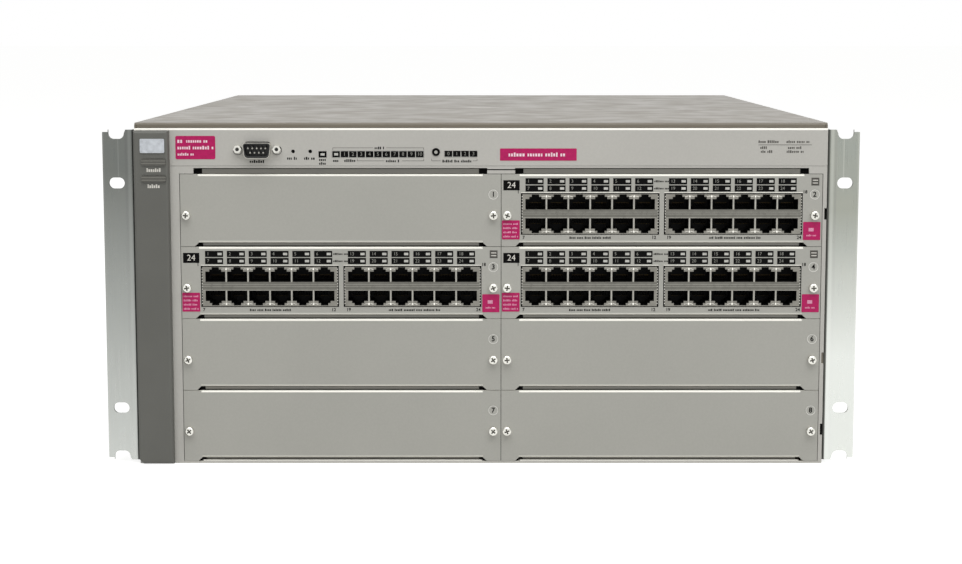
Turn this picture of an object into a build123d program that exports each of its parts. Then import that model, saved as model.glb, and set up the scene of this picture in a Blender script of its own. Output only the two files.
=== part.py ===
from build123d import *

import math
import os

# Rack-mount modular chassis switch, five rack units tall, in millimetres.
#
# The chassis is a folded sheet steel box with eight module slots in two columns of four.
# Slots B, C and D (second, third and fourth) hold 24-port socket modules, and the other
# five are closed by blank covers. Behind the modules stands a backplane, and behind that
# two power supplies slide in from the rear. Four fans blow sideways through the left wall.
#
# X runs to the right seen from the front, Y runs from front to rear, and Z is up.
# The origin is the centre of the chassis footprint, on the face that it stands on.

# Chassis
width = 442.0
depth = 457.0
sheet = 1.2
fold_radius = 1.5
gap = 0.4
seat = 0.3
joint = 0.2
flange = 12.0
same_place = 0.01
front = -depth / 2
rear = depth / 2
side = width / 2

# Slots, in columns and rows behind a flat frame
bezel_width = 22.5
margin_width = 5.8
right_margin = 2.5
slot_rows = 4
slot_columns = 2
slot_pitch = 46.8
slots_bottom = sheet + joint
plate_width = (
    width - bezel_width - margin_width - right_margin - (slot_columns + 1) * gap
) / slot_columns
plate_height = slot_pitch - gap
first_column = -side + bezel_width + margin_width + gap
column_step = plate_width + gap
tab = 10.15
fold_start = 11.5
hem_start = 13.3
hem_length = 12.0
edge_cut = 2.3
edge_slope = 2.5
plate_flange = 12.0
slots_top = slots_bottom + slot_rows * slot_pitch
frame_bar = 4.8
frame_top = slots_top + frame_bar
frame_cut = frame_top - sheet
frame_cut_from_edge = 8.7
edge_notch_width = 1.4
edge_notch_height = 7.4
edge_notch_lift = 17.2
edge_notch_rows = (0, 1, 3)

# Control panel and top cover, over the slots
panel_height = 24.0
panel_flange = 10.0
panel_bottom = frame_top + joint
panel_top = panel_bottom + panel_height
lip = 3.2
lip_set_back = 1.6
height = panel_top + joint + lip

# Heads of the captive screws, and the window that shows the slot number
captive_head_radius = 2.75
captive_head = 3.4
screw_from_left = 3.7
screw_from_right = 4.8
screw_height = 20.1
number_window_height = 33.4
number_window_radius = 3.3

# Socket modules: keyed sockets in two blocks, six over six in each
module_slots = {"b": (1, 3), "c": (0, 2), "d": (1, 2)}
cover_slots = {"a": (0, 3), "e": (0, 1), "f": (1, 1), "g": (0, 0), "h": (1, 0)}
socket_width = 12.8
socket_pitch = 14.0
socket_height = 6.75
socket_depth = 14.0
socket_step = 1.4
socket_step_width = 7.8
socket_notch = 2.9
socket_notch_width = 4.7
socket_band = 5.6
socket_rim = 0.7
socket_first = 2.6
block_from_edge = 12.7
block_between = 4.0
block_depth = 25.0
block_below_top = 12.3
window_play = 0.3
socket_columns = int((plate_width / 2 - block_from_edge - block_between / 2) / socket_pitch)
block_width = 2 * socket_first + (socket_columns - 1) * socket_pitch + socket_width
block_height = 2 * (socket_rim + socket_notch + socket_height) + socket_band
block_from_left = (block_from_edge, plate_width - block_from_edge - block_width)
block_bottom = plate_height - block_below_top - block_height
lower_socket = socket_rim + socket_notch + socket_height
upper_socket = lower_socket + socket_band
light_below_top = (9.1, 4.5)
light_offset = 9.4
light_width = 2.9
light_height = 1.8
light_bar = 2.5
light_play = 0.1

# Card cage
cage_depth = 256.0
cage_flange = 8.5
shelf_start = 3.0
shelf_lift = 0.65
shelf_notch_length = 20.0
header_length = 4.7
plug_width = 60.0
plug_height = 9.0
plug_length = 8.0
board_thickness = 1.6
board_from_left = 11.5
board_width = plate_width - 2 * board_from_left
board_play = 1.0
board_start = plate_flange + board_play
board_end = cage_depth - header_length - seat - plug_length
board_height = block_bottom - board_thickness
guide_thickness = 4.6
groove_play = 1.0
guide_groove = board_thickness + groove_play
guide_overlap = 2.2
guide_start = block_depth + board_play
guide_end = board_end - plug_length - board_play
window_start = 20.0
window_from_end = 36.0
backplane_thickness = 2.4
backplane_margin = 5.0

# Parts on the circuit boards
magnetics = (24.0, 20.0, 7.0)
magnetics_share = 2
magnetics_gap = 5.0
magnetics_start = block_depth + magnetics_gap
chip = (26.0, 20.0, 2.2)
chip_start = 165.0
sink_base = 4.0
sink_fin = 2.0
sink_pitch = 10.0
sink_size = (34.0, 34.0, 15.0)
sink_start = 96.0
sink_count = 3

# Fans, between the left wall and the card cage
fan_size = 92.0
fan_play = 0.9
fan_thickness = bezel_width + margin_width - 2 * sheet - fan_play
fan_rim = 2.5
fan_bore_radius = fan_size / 2 - fan_rim
fan_first_depth = 20.0
fan_columns = 2
fan_rows = 2
fan_depth_gap = 6.0
fan_row_gap = 3.0
fan_depth_step = fan_size + fan_depth_gap
fan_row_step = fan_size + fan_row_gap
fan_bottom = 2 * sheet
hub_radius = 19.0
blade_count = 5
blade_play = 1.5
blade_radius = fan_bore_radius - blade_play
blade_thickness = 1.4
blade_chord = 21.0
blade_pitch_deg = 38.0
rotor_length = 18.0
rotor_cap = 2.0
stator_thickness = 3.0
strut_width = 4.0
spindle_radius = 1.5
spindle_play = 0.05

# Console connector and buttons on the control panel
console_from_left = 78.5
console_lift = 10.7
console_x = -side + console_from_left
console_z = panel_bottom + console_lift
console_width = 17.6
console_height = 9.2
console_slant = 1.3
console_corner = 2.2
console_wall = 0.5
console_play = 0.05
console_proud = 4.6
console_flange_width = 31.0
console_flange_height = 12.6
console_flange_sheet = 0.8
console_body = (19.0, 10.0)
insulator_length = 8.0
jackscrew_spacing = 25.0
jackscrew_radius = 2.7
jackscrew_bore = 1.2
jackscrew_proud = 3.2
pin_side = 0.9
pin_pitch = 2.77
pin_row_gap = 2.84
pin_recess = 1.0
reset_from_left = 101.2
clear_from_left = 112.1
pinhole_lift = 9.2
reset_x = -side + reset_from_left
clear_x = -side + clear_from_left
pinhole_z = panel_bottom + pinhole_lift
plunger_radius = 0.95
plunger_recess = 0.5
plunger_travel = 0.8
mode_from_left = 192.3
mode_lift = 8.8
mode_x = -side + mode_from_left
mode_z = panel_bottom + mode_lift
mode_radius = 2.3
mode_proud = 0.8
mode_travel = 0.7
button_play = 0.25
switch_depth = 9.0
switch_body = 5.0
switch_width = 6.0
switch_play = 0.1
light_strips = {
    "test": (120.0, 7.3, 4.9, 3.8),
    "status": (155.3, 7.4, 58.6, 4.3),
    "mode": (208.1, 7.3, 20.9, 3.7),
}
strip_depth = 4.0
strip_play = 0.15
strip_lamp = 3.0

# Management board, over the card cage
standoff_length = 4.45
standoff_radius = 3.0
standoff_inset = 16.0
main_board_start = 4.0
main_board_length = 230.0
main_board_inset = 3.0
main_sink_place = (20.0, 90.0)
main_sink_size = (60.0, 50.0, 16.0)
main_chips = (-120.0, -70.0, 110.0)
main_chip_start = 110.0

# Side bezel
bezel_proud = 5.0
bezel_wall = 2.0
bezel_bottom = 0.6
bezel_drop = 1.4
bezel_top = panel_top - bezel_drop
bezel_round = 1.8
bezel_chamfer = 2.8
bezel_ribs = 4
bezel_rib = 1.5
badge_width = 15.5
badge_height = 9.0
badge_thickness = 0.8
badge_rim = 0.7
badge_recess = 0.2
badge_corner = 0.8
badge_drop = 9.5
badge_offset = 1.2
pipe_width = 15.5
pipe_height = 4.4
pipe_corner = 1.2
pipe_proud = 0.9
pipe_drops = (19.9, 30.5)
pipe_offset = 1.9

# Rack brackets, on the standard 19-inch hole pattern
ear_width = 20.3
rack_slot_from_side = 11.55
rack_slot_spacing = width + 2 * rack_slot_from_side
rack_slot_rise = 146.05
rack_slot_z = 36.5
rack_slot_length = 10.1
rack_slot_radius = 3.55
rack_notch_step = 31.75
rack_notch_mouth = 2.2
bracket_sheet = 2.0
bracket_end = 34.1
bracket_tip_drop = 1.5
bracket_tip_width = 3.6
bracket_leg = 48.0
bracket_screw_depths = (14.0, 36.0)
bracket_screw_heights = (28.0, 191.0)
bracket_screw_radius = 2.9
bracket_screw_head = 1.6

# Power supplies
supply_signs = {"1": -1, "2": 1}
supply_width = 150.0
supply_height = 84.0
supply_clearance = 30.6
supply_length = depth - cage_depth - backplane_thickness - supply_clearance
supply_from_centre = 12.0
supply_wall = 1.0
supply_tab = 9.5
supply_tab_height = 48.0
supply_play = 0.4
inlet_width = 27.0
inlet_height = 20.0
inlet_wall = 2.0
inlet_depth = 17.0
inlet_floor = 1.0
inlet_chamfer = 4.5
inlet_pin = (2.0, 4.0)
inlet_pin_gap = 7.0
inlet_pin_drop = 2.0
inlet_pin_recess = 2.0
inlet_rim = 1.5
inlet_play = 0.2
inlet_from_edge = 24.0
inlet_from_top = 27.4
handle_reach = 22.0
handle_height = 68.0
handle_width = 9.0
handle_sheet = 4.0
handle_bend = 8.0
handle_from_grille = 12.0
thumb_radius = 4.4
thumb_length = 9.0
grille_slot = 5.0
grille_pitch = 11.0
grille_width = 72.0
grille_from_edge = 12.0
grille_from_bottom = 9.0

# Wall vents
fan_vent_slot = 7.0
fan_vent_pitch = 12.5
vent_slot = 5.0
vent_pitch = 11.0
vent_lines = 3
vent_columns = 2
vent_web = 10.0
vent_first_depth = 60.0
vent_from_cage_end = 10.0
vent_length = (cage_depth - vent_from_cage_end - vent_first_depth + vent_web) / vent_columns - vent_web
vent_step = vent_length + vent_web
rear_vent_slot = 6.0
rear_vent_pitch = 13.0
rear_vent_lines = 6
rear_vent_length = 137.0
rear_vent_inset = 24.0
rear_vent_drop = 24.0


def slab(x0, x1, y0, y1, z0, z1):
    """Box between two opposite corners."""
    centre = Pos((x0 + x1) / 2, (y0 + y1) / 2, (z0 + z1) / 2)
    return centre * Box(x1 - x0, y1 - y0, z1 - z0)


def rect(u0, u1, v0, v1):
    """Flat rectangle between two opposite corners of a sketch."""
    return Pos((u0 + u1) / 2, (v0 + v1) / 2) * Rectangle(u1 - u0, v1 - v0)


def rounded_rect(u0, u1, v0, v1, radius):
    """Flat rectangle with four round corners."""
    return Pos((u0 + u1) / 2, (v0 + v1) / 2) * RectangleRounded(u1 - u0, v1 - v0, radius)


def polygon(points):
    """Flat face inside a closed run of points."""
    return make_face(Polyline(points, close=True))


def sheet_facing_front(sketch, start, thickness):
    """Sketch in X and Z, pulled backwards from a depth behind the front plane."""
    placed = Pos(0, front + start, 0) * (Plane.XZ * sketch)
    return extrude(placed, amount=thickness, dir=(0, 1, 0))


def sheet_facing_side(sketch, x0, thickness):
    """Sketch in Y and Z, pulled towards +X."""
    placed = Pos(x0, 0, 0) * (Plane.YZ * sketch)
    return extrude(placed, amount=thickness)


def rod_along_y(x, z, radius, start, length):
    """Round rod or hole along Y, from a depth behind the front plane."""
    return Pos(x, front + start + length / 2, z) * Rot(90, 0, 0) * Cylinder(radius, length)


def rod_along_x(y, z, radius, x0, length):
    """Round rod or hole along X."""
    return Pos(x0 + length / 2, y, z) * Rot(0, 90, 0) * Cylinder(radius, length)


def column_x(column):
    """Left edge of a slot column."""
    return first_column + column * column_step


def row_z(row):
    """Bottom edge of a slot row, counted from the lowest."""
    return slots_bottom + row * slot_pitch


def round_corners(sketch, points, radius):
    """Rounds the corners of a sketch that lie at the given points."""
    near = [
        v
        for v in sketch.vertices()
        if any(math.hypot(v.X - u, v.Y - w) < same_place for u, w in points)
    ]
    return fillet(near, radius)


def folded_sheet(x0, length, z0, z1, reach, bottom_fold=True):
    """Sheet along X with its top edge folded back, and its bottom edge where asked."""
    rounds = [(front, z1)]
    low = z0
    if bottom_fold:
        rounds.append((front, z0))
        low = z0 + sheet
    outer = round_corners(rect(front, front + reach, z0, z1), rounds, fold_radius)
    hollow = rect(front + sheet, front + reach, low, z1 - sheet)
    return sheet_facing_side(outer - hollow, x0, length)


def plate_tabs(x0, z0):
    """The two flat ends of a slot plate, with the sloping start of its cut-back edge."""
    cut = z0 + edge_cut
    top = z0 + plate_height
    slope_end = x0 + tab + edge_slope / 2
    slope_start = slope_end - edge_slope
    left = polygon([
        (x0, z0), (slope_start, z0), (slope_end, cut),
        (x0 + fold_start, cut), (x0 + fold_start, top), (x0, top),
    ])
    middle = x0 + plate_width / 2
    right = mirror(left, about=Plane.YZ.offset(middle))
    return left, right


def slot_plate(column, row, windows=()):
    """Folded plate that closes a slot: flat ends for the screws, folded edges between."""
    x0 = column_x(column)
    z0 = row_z(row)
    left, right = plate_tabs(x0, z0)
    window = Pos(x0 + plate_width - screw_from_right, z0 + number_window_height)
    right -= window * Circle(number_window_radius)
    length = plate_width - 2 * fold_start
    middle = folded_sheet(
        x0 + fold_start, length, z0 + edge_cut, z0 + plate_height, plate_flange
    )
    ends = [sheet_facing_front(end, 0, sheet) for end in (left, right)]
    plate = middle + ends
    return plate - list(windows) if windows else plate


def slot_screws(column, row):
    """Heads of the two captive screws of a slot plate, seated on its flat ends."""
    x0 = column_x(column)
    z = row_z(row) + screw_height
    return [
        rod_along_y(x, z, captive_head_radius, -captive_head, captive_head)
        for x in (x0 + screw_from_left, x0 + plate_width - screw_from_right)
    ]


def socket_outline(x, z, notch_up):
    """Outline of one keyed socket: a wide mouth with a two-step latch notch."""
    half = socket_width / 2
    step = socket_step_width / 2
    notch = socket_notch_width / 2
    points = [
        (-half, 0), (half, 0), (half, socket_height), (step, socket_height),
        (step, socket_height + socket_step), (notch, socket_height + socket_step),
        (notch, socket_height + socket_notch), (-notch, socket_height + socket_notch),
        (-notch, socket_height + socket_step), (-step, socket_height + socket_step),
        (-step, socket_height), (-half, socket_height),
    ]
    sign = 1 if notch_up else -1
    return polygon([(x + half + u, z + sign * v) for u, v in points])


def socket_corners(column, row):
    """Left edge and flat edge height of each socket: (x, z, notch_up)."""
    corners = []
    for start in block_from_left:
        for i in range(socket_columns):
            x = column_x(column) + start + socket_first + i * socket_pitch
            base = row_z(row) + block_bottom
            corners.append((x, base + upper_socket, True))
            corners.append((x, base + lower_socket, False))
    return corners


def socket_blocks(column, row):
    """Two shielded blocks of twelve sockets each, six over six."""
    blocks = []
    corners = socket_corners(column, row)
    share = len(corners) // len(block_from_left)
    for k, start in enumerate(block_from_left):
        x0 = column_x(column) + start
        z0 = row_z(row) + block_bottom
        face = rect(x0, x0 + block_width, z0, z0 + block_height)
        mine = corners[k * share:(k + 1) * share]
        face -= [socket_outline(x, z, up) for x, z, up in mine]
        mouths = sheet_facing_front(face, 0, socket_depth)
        body = slab(
            x0, x0 + block_width, front + socket_depth, front + block_depth,
            z0, z0 + block_height,
        )
        blocks.append(mouths + body)
    return blocks


def light_centres(column, row):
    """Centres in X and Z of the port lights, block by block."""
    centres = []
    for start in block_from_left:
        for i in range(socket_columns):
            left_edge = column_x(column) + start + socket_first + i * socket_pitch
            for down in light_below_top:
                z = row_z(row) + plate_height - down
                centres.append((left_edge + light_offset, z))
    return centres


def module_faceplate(column, row):
    """Slot plate with two windows for the socket blocks and 24 small light windows."""
    x0 = column_x(column)
    z0 = row_z(row)
    windows = []
    for start in block_from_left:
        windows.append(slab(
            x0 + start - window_play, x0 + start + block_width + window_play,
            front - sheet, front + 2 * sheet,
            z0 + block_bottom - window_play, z0 + block_bottom + block_height + window_play,
        ))
    for x, z in light_centres(column, row):
        windows.append(slab(
            x - light_width / 2 - light_play, x + light_width / 2 + light_play,
            front - sheet, front + 2 * sheet,
            z - light_height / 2 - light_play, z + light_height / 2 + light_play,
        ))
    return slot_plate(column, row, windows)


def module_lights(column, row):
    """Two combs of clear light guides: a bar behind the plate with stubs through it."""
    centres = light_centres(column, row)
    share = len(centres) // len(block_from_left)
    combs = []
    for k in range(len(block_from_left)):
        mine = centres[k * share:(k + 1) * share]
        x_low = min(x for x, _ in mine) - light_width
        x_high = max(x for x, _ in mine) + light_width
        z_low = min(z for _, z in mine) - light_height / 2
        z_high = max(z for _, z in mine) + light_height / 2
        bar = slab(x_low, x_high, front + sheet, front + sheet + light_bar, z_low, z_high)
        stubs = [
            slab(
                x - light_width / 2, x + light_width / 2, front, front + sheet,
                z - light_height / 2, z + light_height / 2,
            )
            for x, z in mine
        ]
        combs.append(bar + stubs)
    return combs


def heat_sink(x0, y0, z0, size):
    """Finned heat sink: a base with upright fins across its length."""
    long, deep, tall = size
    base = slab(x0, x0 + long, y0, y0 + deep, z0, z0 + sink_base)
    fins = []
    for k in range(int((deep - sink_fin) / sink_pitch) + 1):
        y = y0 + k * sink_pitch
        fins.append(slab(x0, x0 + long, y, y + sink_fin, z0 + sink_base, z0 + tall))
    return base + fins


def block_on_board(x0, y0, z0, size):
    """Plain box-shaped component that stands on a board."""
    long, deep, tall = size
    return slab(x0, x0 + long, y0, y0 + deep, z0, z0 + tall)


def module_board(column, row):
    """Circuit board with its magnetics, heat sinks, chips and rear plug."""
    x0 = column_x(column) + board_from_left
    z0 = row_z(row) + board_height
    top = z0 + board_thickness
    board = slab(x0, x0 + board_width, front + board_start, front + board_end, z0, top)
    parts = []
    for start in block_from_left:
        for i in range(0, socket_columns, magnetics_share):
            x = column_x(column) + start + socket_first + i * socket_pitch
            parts.append(block_on_board(x, front + magnetics_start, top, magnetics))
    share = board_width / sink_count
    for i in range(sink_count):
        x = x0 + (i + 0.5) * share - sink_size[0] / 2
        parts.append(heat_sink(x, front + sink_start, top, sink_size))
        x = x0 + (i + 0.5) * share - chip[0] / 2
        parts.append(block_on_board(x, front + chip_start, top, chip))
    x_low, x_high, z_low, z_high = plug_span(column, row)
    parts.append(slab(
        x_low, x_high, front + board_end - plug_length, front + board_end + plug_length,
        z_low, z_high,
    ))
    return board + parts


def plug_span(column, row):
    """X and Z span of the connector between a module board and the backplane."""
    middle = column_x(column) + plate_width / 2
    z = row_z(row) + board_height + board_thickness
    return middle - plug_width / 2, middle + plug_width / 2, z, z + plug_height


def cage_walls():
    """Three upright sheets of the card cage, each with a flange behind the slot plates."""
    low = 2 * sheet + joint
    top = row_z(slot_rows) + shelf_lift
    left_end = column_x(0) - gap
    middle = column_x(1) - gap / 2
    right_end = column_x(1) + plate_width + gap
    reach = cage_flange + gap
    walls = []
    for web_x, x0, x1, z0 in (
        (left_end - sheet, left_end, left_end + reach, sheet),
        (middle - sheet / 2, middle - reach, middle + reach, sheet),
        (right_end, right_end - reach, right_end, low),
    ):
        wall = slab(web_x, web_x + sheet, front + sheet, front + cage_depth, z0, top)
        wall += slab(x0, x1, front + sheet, front + 2 * sheet, z0, top)
        walls.append(wall - cage_windows(web_x))
    return walls


def cage_windows(x0):
    """Air windows through a cage wall, one over each module board."""
    return [
        slab(
            x0 - sheet, x0 + 2 * sheet,
            front + window_start, front + cage_depth - window_from_end,
            row_z(row) + guide_thickness + board_height,
            row_z(row) + plate_height - guide_thickness,
        )
        for row in range(slot_rows)
    ]


def column_span(column):
    """X of the two cage wall faces that a slot column lies between."""
    x0 = column_x(column) - gap
    x1 = column_x(column) + plate_width + gap
    half_wall = (sheet - gap) / 2
    if column > 0:
        x0 += half_wall + gap
    if column < slot_columns - 1:
        x1 -= half_wall + gap
    return x0, x1


def slot_shelves():
    """Flat sheets between the slot rows and over the top row, two for each level."""
    shelves = []
    for column in range(slot_columns):
        x0, x1 = column_span(column)
        plate_x = column_x(column)
        for row in range(1, slot_rows + 1):
            z = row_z(row) + shelf_lift
            shelf = slab(x0, x1, front + shelf_start, front + cage_depth, z, z + sheet)
            notch_end = front + shelf_start + shelf_notch_length
            shelf -= [
                slab(u0, u1, front, notch_end, z, z + sheet)
                for u0, u1 in (
                    (x0, plate_x + hem_start), (plate_x + plate_width - hem_start, x1),
                )
            ]
            shelves.append(shelf)
    return shelves


def card_guide(wall_x, edge_x, row):
    """One grooved rail, from a cage wall to a little past the edge of a module board."""
    way = 1 if edge_x > wall_x else -1
    middle = row_z(row) + board_height + board_thickness / 2
    low = middle - guide_thickness / 2
    high = middle + guide_thickness / 2
    groove = guide_groove / 2
    reach = edge_x + way * guide_overlap
    floor = edge_x - way * seat
    profile = polygon([
        (wall_x, low), (reach, low), (reach, middle - groove), (floor, middle - groove),
        (floor, middle + groove), (reach, middle + groove), (reach, high), (wall_x, high),
    ])
    return sheet_facing_front(profile, guide_start, guide_end - guide_start)


def card_guides():
    """Grooved plastic rails that carry both edges of each module board."""
    guides = []
    for column in range(slot_columns):
        x0, x1 = column_span(column)
        edge = column_x(column) + board_from_left
        for row in range(slot_rows):
            guides.append(card_guide(x0, edge, row))
            guides.append(card_guide(x1, edge + board_width, row))
    return guides


def fan_centres():
    """Centres in Y and Z of the four fans on the left wall."""
    return [
        (
            front + fan_first_depth + fan_size / 2 + i * fan_depth_step,
            fan_bottom + fan_size / 2 + k * fan_row_step,
        )
        for i in range(fan_columns)
        for k in range(fan_rows)
    ]


def fan_outer_x():
    """X of the fan face that looks at the left wall."""
    return column_x(0) - gap - sheet - fan_thickness


def fan_frame(y, z):
    """Square fan frame with a round duct, a motor plate on three struts and a spindle."""
    x0 = fan_outer_x()
    half = fan_size / 2
    face = rect(y - half, y + half, z - half, z + half)
    face -= Pos(y, z) * Circle(fan_bore_radius)
    body = sheet_facing_side(face, x0, fan_thickness)
    struts = []
    for k in range(3):
        strut = rect(0, fan_bore_radius + seat, -strut_width / 2, strut_width / 2)
        struts.append(Pos(y, z) * Rot(0, 0, 90 + 120 * k) * strut)
    plate = Pos(y, z) * Circle(hub_radius) + struts
    plate = sheet_facing_side(plate, x0, stator_thickness)
    spindle_length = rotor_length - rotor_cap
    spindle = rod_along_x(y, z, spindle_radius, x0 + stator_thickness, spindle_length)
    return body + [plate, spindle]


def fan_rotor(y, z):
    """Hub cup with pitched blades, running on the frame's spindle."""
    x0 = fan_outer_x() + stator_thickness + seat
    hub = rod_along_x(0, 0, hub_radius, 0, rotor_length)
    pitch = math.radians(blade_pitch_deg)
    half = (blade_chord * math.sin(pitch) + blade_thickness * math.cos(pitch)) / 2
    root = hub_radius - blade_thickness
    tip = math.sqrt(blade_radius ** 2 - half ** 2)
    blade = Box(blade_chord, blade_thickness, tip - root)
    blade = Pos(rotor_length / 2, 0, (tip + root) / 2) * Rot(0, 0, blade_pitch_deg) * blade
    rotor = hub + [Rot(360 / blade_count * k, 0, 0) * blade for k in range(blade_count)]
    rotor -= rod_along_x(0, 0, spindle_radius + spindle_play, 0, rotor_length - rotor_cap)
    return Pos(x0, y, z) * rotor


def backplane():
    """Upright board behind the card cage, with one header for each slot."""
    board = slab(
        column_x(0) + backplane_margin, column_x(1) + plate_width - backplane_margin,
        front + cage_depth, front + cage_depth + backplane_thickness,
        2 * sheet + joint, slots_top + backplane_margin,
    )
    headers = []
    for column in range(slot_columns):
        for row in range(slot_rows):
            x0, x1, z0, z1 = plug_span(column, row)
            headers.append(slab(
                x0, x1, front + cage_depth - header_length, front + cage_depth, z0, z1
            ))
    return board + headers


def main_board_z():
    """Height of the underside of the management board."""
    return row_z(slot_rows) + shelf_lift + sheet + standoff_length


def management_board():
    """Main circuit board over the card cage, with its heat sink, chips and switches."""
    x0 = column_x(0) + main_board_inset
    x1 = column_x(1) + plate_width - main_board_inset
    y0 = front + main_board_start
    y1 = y0 + main_board_length
    z0 = main_board_z()
    top = z0 + board_thickness
    board = slab(x0, x1, y0, y1, z0, top)
    parts = []
    for x in (x0 + standoff_inset, x1 - standoff_inset):
        for y in (y0 + standoff_inset, y1 - standoff_inset):
            hexagon = Pos(x, y, z0 - standoff_length) * RegularPolygon(standoff_radius, 6)
            parts.append(extrude(hexagon, amount=standoff_length))
    x, start = main_sink_place
    parts.append(heat_sink(x, front + start, top, main_sink_size))
    for x in main_chips:
        parts.append(block_on_board(x, front + main_chip_start, top, chip))
    for x, z in ((reset_x, pinhole_z), (clear_x, pinhole_z), (mode_x, mode_z)):
        parts.append(slab(
            x - switch_width / 2, x + switch_width / 2,
            front + switch_depth, front + switch_depth + switch_body,
            top, z + switch_width / 2,
        ))
    for x, z, long, tall in strip_places():
        start = front + strip_depth + joint
        parts.append(slab(
            x - long / 2, x + long / 2, start, start + strip_lamp, top, z + tall / 2
        ))
    return board + parts


def console_outline(grow):
    """D-shaped outline of the console socket, wider at the top."""
    half = console_width / 2 + grow
    tall = console_height / 2 + grow
    outline = polygon([
        (-half, tall), (half, tall), (half - console_slant, -tall), (console_slant - half, -tall),
    ])
    outline = fillet(outline.vertices(), console_corner + grow)
    return Pos(console_x, console_z) * outline


def console_connector():
    """Nine-pin serial connector: metal shell with a flange, and the insulator with pins."""
    shell = console_outline(0) - console_outline(-console_wall)
    shell = sheet_facing_front(shell, -console_proud, console_proud + sheet)
    half = console_flange_width / 2
    tall = console_flange_height / 2
    face = rect(console_x - half, console_x + half, console_z - tall, console_z + tall)
    face -= console_outline(-console_wall)
    plate = sheet_facing_front(face, sheet, console_flange_sheet)
    inside = console_outline(-console_wall - console_play)
    insulator = sheet_facing_front(inside, 0, insulator_length)
    body_width, body_length = console_body
    insulator += slab(
        console_x - body_width / 2, console_x + body_width / 2,
        front + insulator_length, front + insulator_length + body_length,
        main_board_z() + board_thickness, console_z + console_height / 2,
    )
    pins = []
    for count, row in ((5, 1), (4, -1)):
        for k in range(count):
            x = console_x + (k - (count - 1) / 2) * pin_pitch
            z = console_z + row * pin_row_gap / 2
            pins.append(slab(
                x - pin_side / 2, x + pin_side / 2, front + pin_recess - console_proud, front,
                z - pin_side / 2, z + pin_side / 2,
            ))
    return [shell + plate, insulator + pins]


def console_jackscrews():
    """Two hexagonal standoffs beside the console connector, which take a plug's screws."""
    screws = []
    for x in (console_x - jackscrew_spacing / 2, console_x + jackscrew_spacing / 2):
        place = Pos(x, console_z)
        hexagon = place * RegularPolygon(jackscrew_radius, 6) - place * Circle(jackscrew_bore)
        screws.append(sheet_facing_front(hexagon, -jackscrew_proud, jackscrew_proud))
    return screws


def control_panel():
    """Folded strip over the slots, with its cut-outs for the connector, buttons and lights."""
    panel = folded_sheet(
        -side, width, panel_bottom, panel_top, panel_flange, bottom_fold=False
    )
    panel -= [
        slab(x, x + sheet, front + sheet, front + panel_flange, panel_bottom, panel_top)
        for x in (-side, side - sheet)
    ]
    cuts = [sheet_facing_front(console_outline(joint), -sheet, 3 * sheet)]
    holes = [(x, pinhole_z, plunger_radius + button_play) for x in (reset_x, clear_x)]
    holes.append((mode_x, mode_z, mode_radius + button_play))
    cuts += [rod_along_y(x, z, radius, -sheet, 3 * sheet) for x, z, radius in holes]
    for x, z, long, tall in strip_places():
        cuts.append(slab(
            x - long / 2 - strip_play, x + long / 2 + strip_play,
            front - sheet, front + 2 * sheet,
            z - tall / 2 - strip_play, z + tall / 2 + strip_play,
        ))
    return panel - cuts


def strip_places():
    """Centre in X and Z, length and height of each light window of the control panel."""
    return [
        (from_left - side, panel_bottom + lift, long, tall)
        for from_left, lift, long, tall in light_strips.values()
    ]


def guide_places():
    """Height of each light guide of the side bezel."""
    return [bezel_top - drop for drop in pipe_drops]


def front_lights():
    """Light windows of the control panel, and the two light guides of the side bezel."""
    lights = [
        slab(x - long / 2, x + long / 2, front, front + strip_depth, z - tall / 2, z + tall / 2)
        for x, z, long, tall in strip_places()
    ]
    for z in guide_places():
        lights.append(sheet_facing_front(
            light_guide_outline(z, 0), -bezel_proud - pipe_proud, bezel_wall + pipe_proud
        ))
    return lights


def light_guide_outline(z, grow):
    """Outline of a light guide in the side bezel."""
    x = -side + bezel_width / 2 + pipe_offset
    half = pipe_width / 2 + grow
    tall = pipe_height / 2 + grow
    return rounded_rect(x - half, x + half, z - tall, z + tall, pipe_corner + grow)


def button(x, z, radius, start, travel):
    """Push button: a round plunger that reaches back to its switch."""
    end = switch_depth - travel - switch_play
    return rod_along_y(x, z, radius, start, end - start)


def side_bezel():
    """Moulded plastic cover over the left margin, hollow at the back."""
    x0 = -side
    x1 = -side + bezel_width
    cut = bezel_chamfer
    outline = polygon([
        (x0 + cut, bezel_bottom), (x1, bezel_bottom), (x1, bezel_top), (x0, bezel_top),
        (x0, bezel_bottom + cut),
    ])
    body = sheet_facing_front(outline, -bezel_proud, bezel_proud)
    face_edges = body.edges().group_by(Axis.Y)[0]
    body = fillet(face_edges, bezel_round)
    body -= slab(
        x0 + bezel_wall, x1 - bezel_wall, front - bezel_proud + bezel_wall, front,
        bezel_bottom + 2 * bezel_wall, bezel_top - bezel_wall,
    )
    step = (min(guide_places()) - bezel_bottom) / (bezel_ribs + 1)
    for k in range(1, bezel_ribs + 1):
        z = bezel_bottom + k * step
        body += slab(
            x0 + bezel_wall, x1 - bezel_wall, front - bezel_proud + bezel_wall, front,
            z, z + bezel_rib,
        )
    cuts = [
        sheet_facing_front(light_guide_outline(z, light_play), -bezel_proud - 1, bezel_wall + 1)
        for z in guide_places()
    ]
    return body - cuts


def bezel_badge():
    """Plain metal badge near the top of the bezel, with a raised rim."""
    x = -side + bezel_width / 2 + badge_offset
    z = bezel_top - badge_drop
    half = badge_width / 2
    tall = badge_height / 2
    outline = rounded_rect(x - half, x + half, z - tall, z + tall, badge_corner)
    plate = sheet_facing_front(outline, -bezel_proud - badge_thickness, badge_thickness)
    half -= badge_rim
    tall -= badge_rim
    inside = rect(x - half, x + half, z - tall, z + tall)
    return plate - sheet_facing_front(inside, -bezel_proud - badge_thickness, badge_recess)


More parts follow.
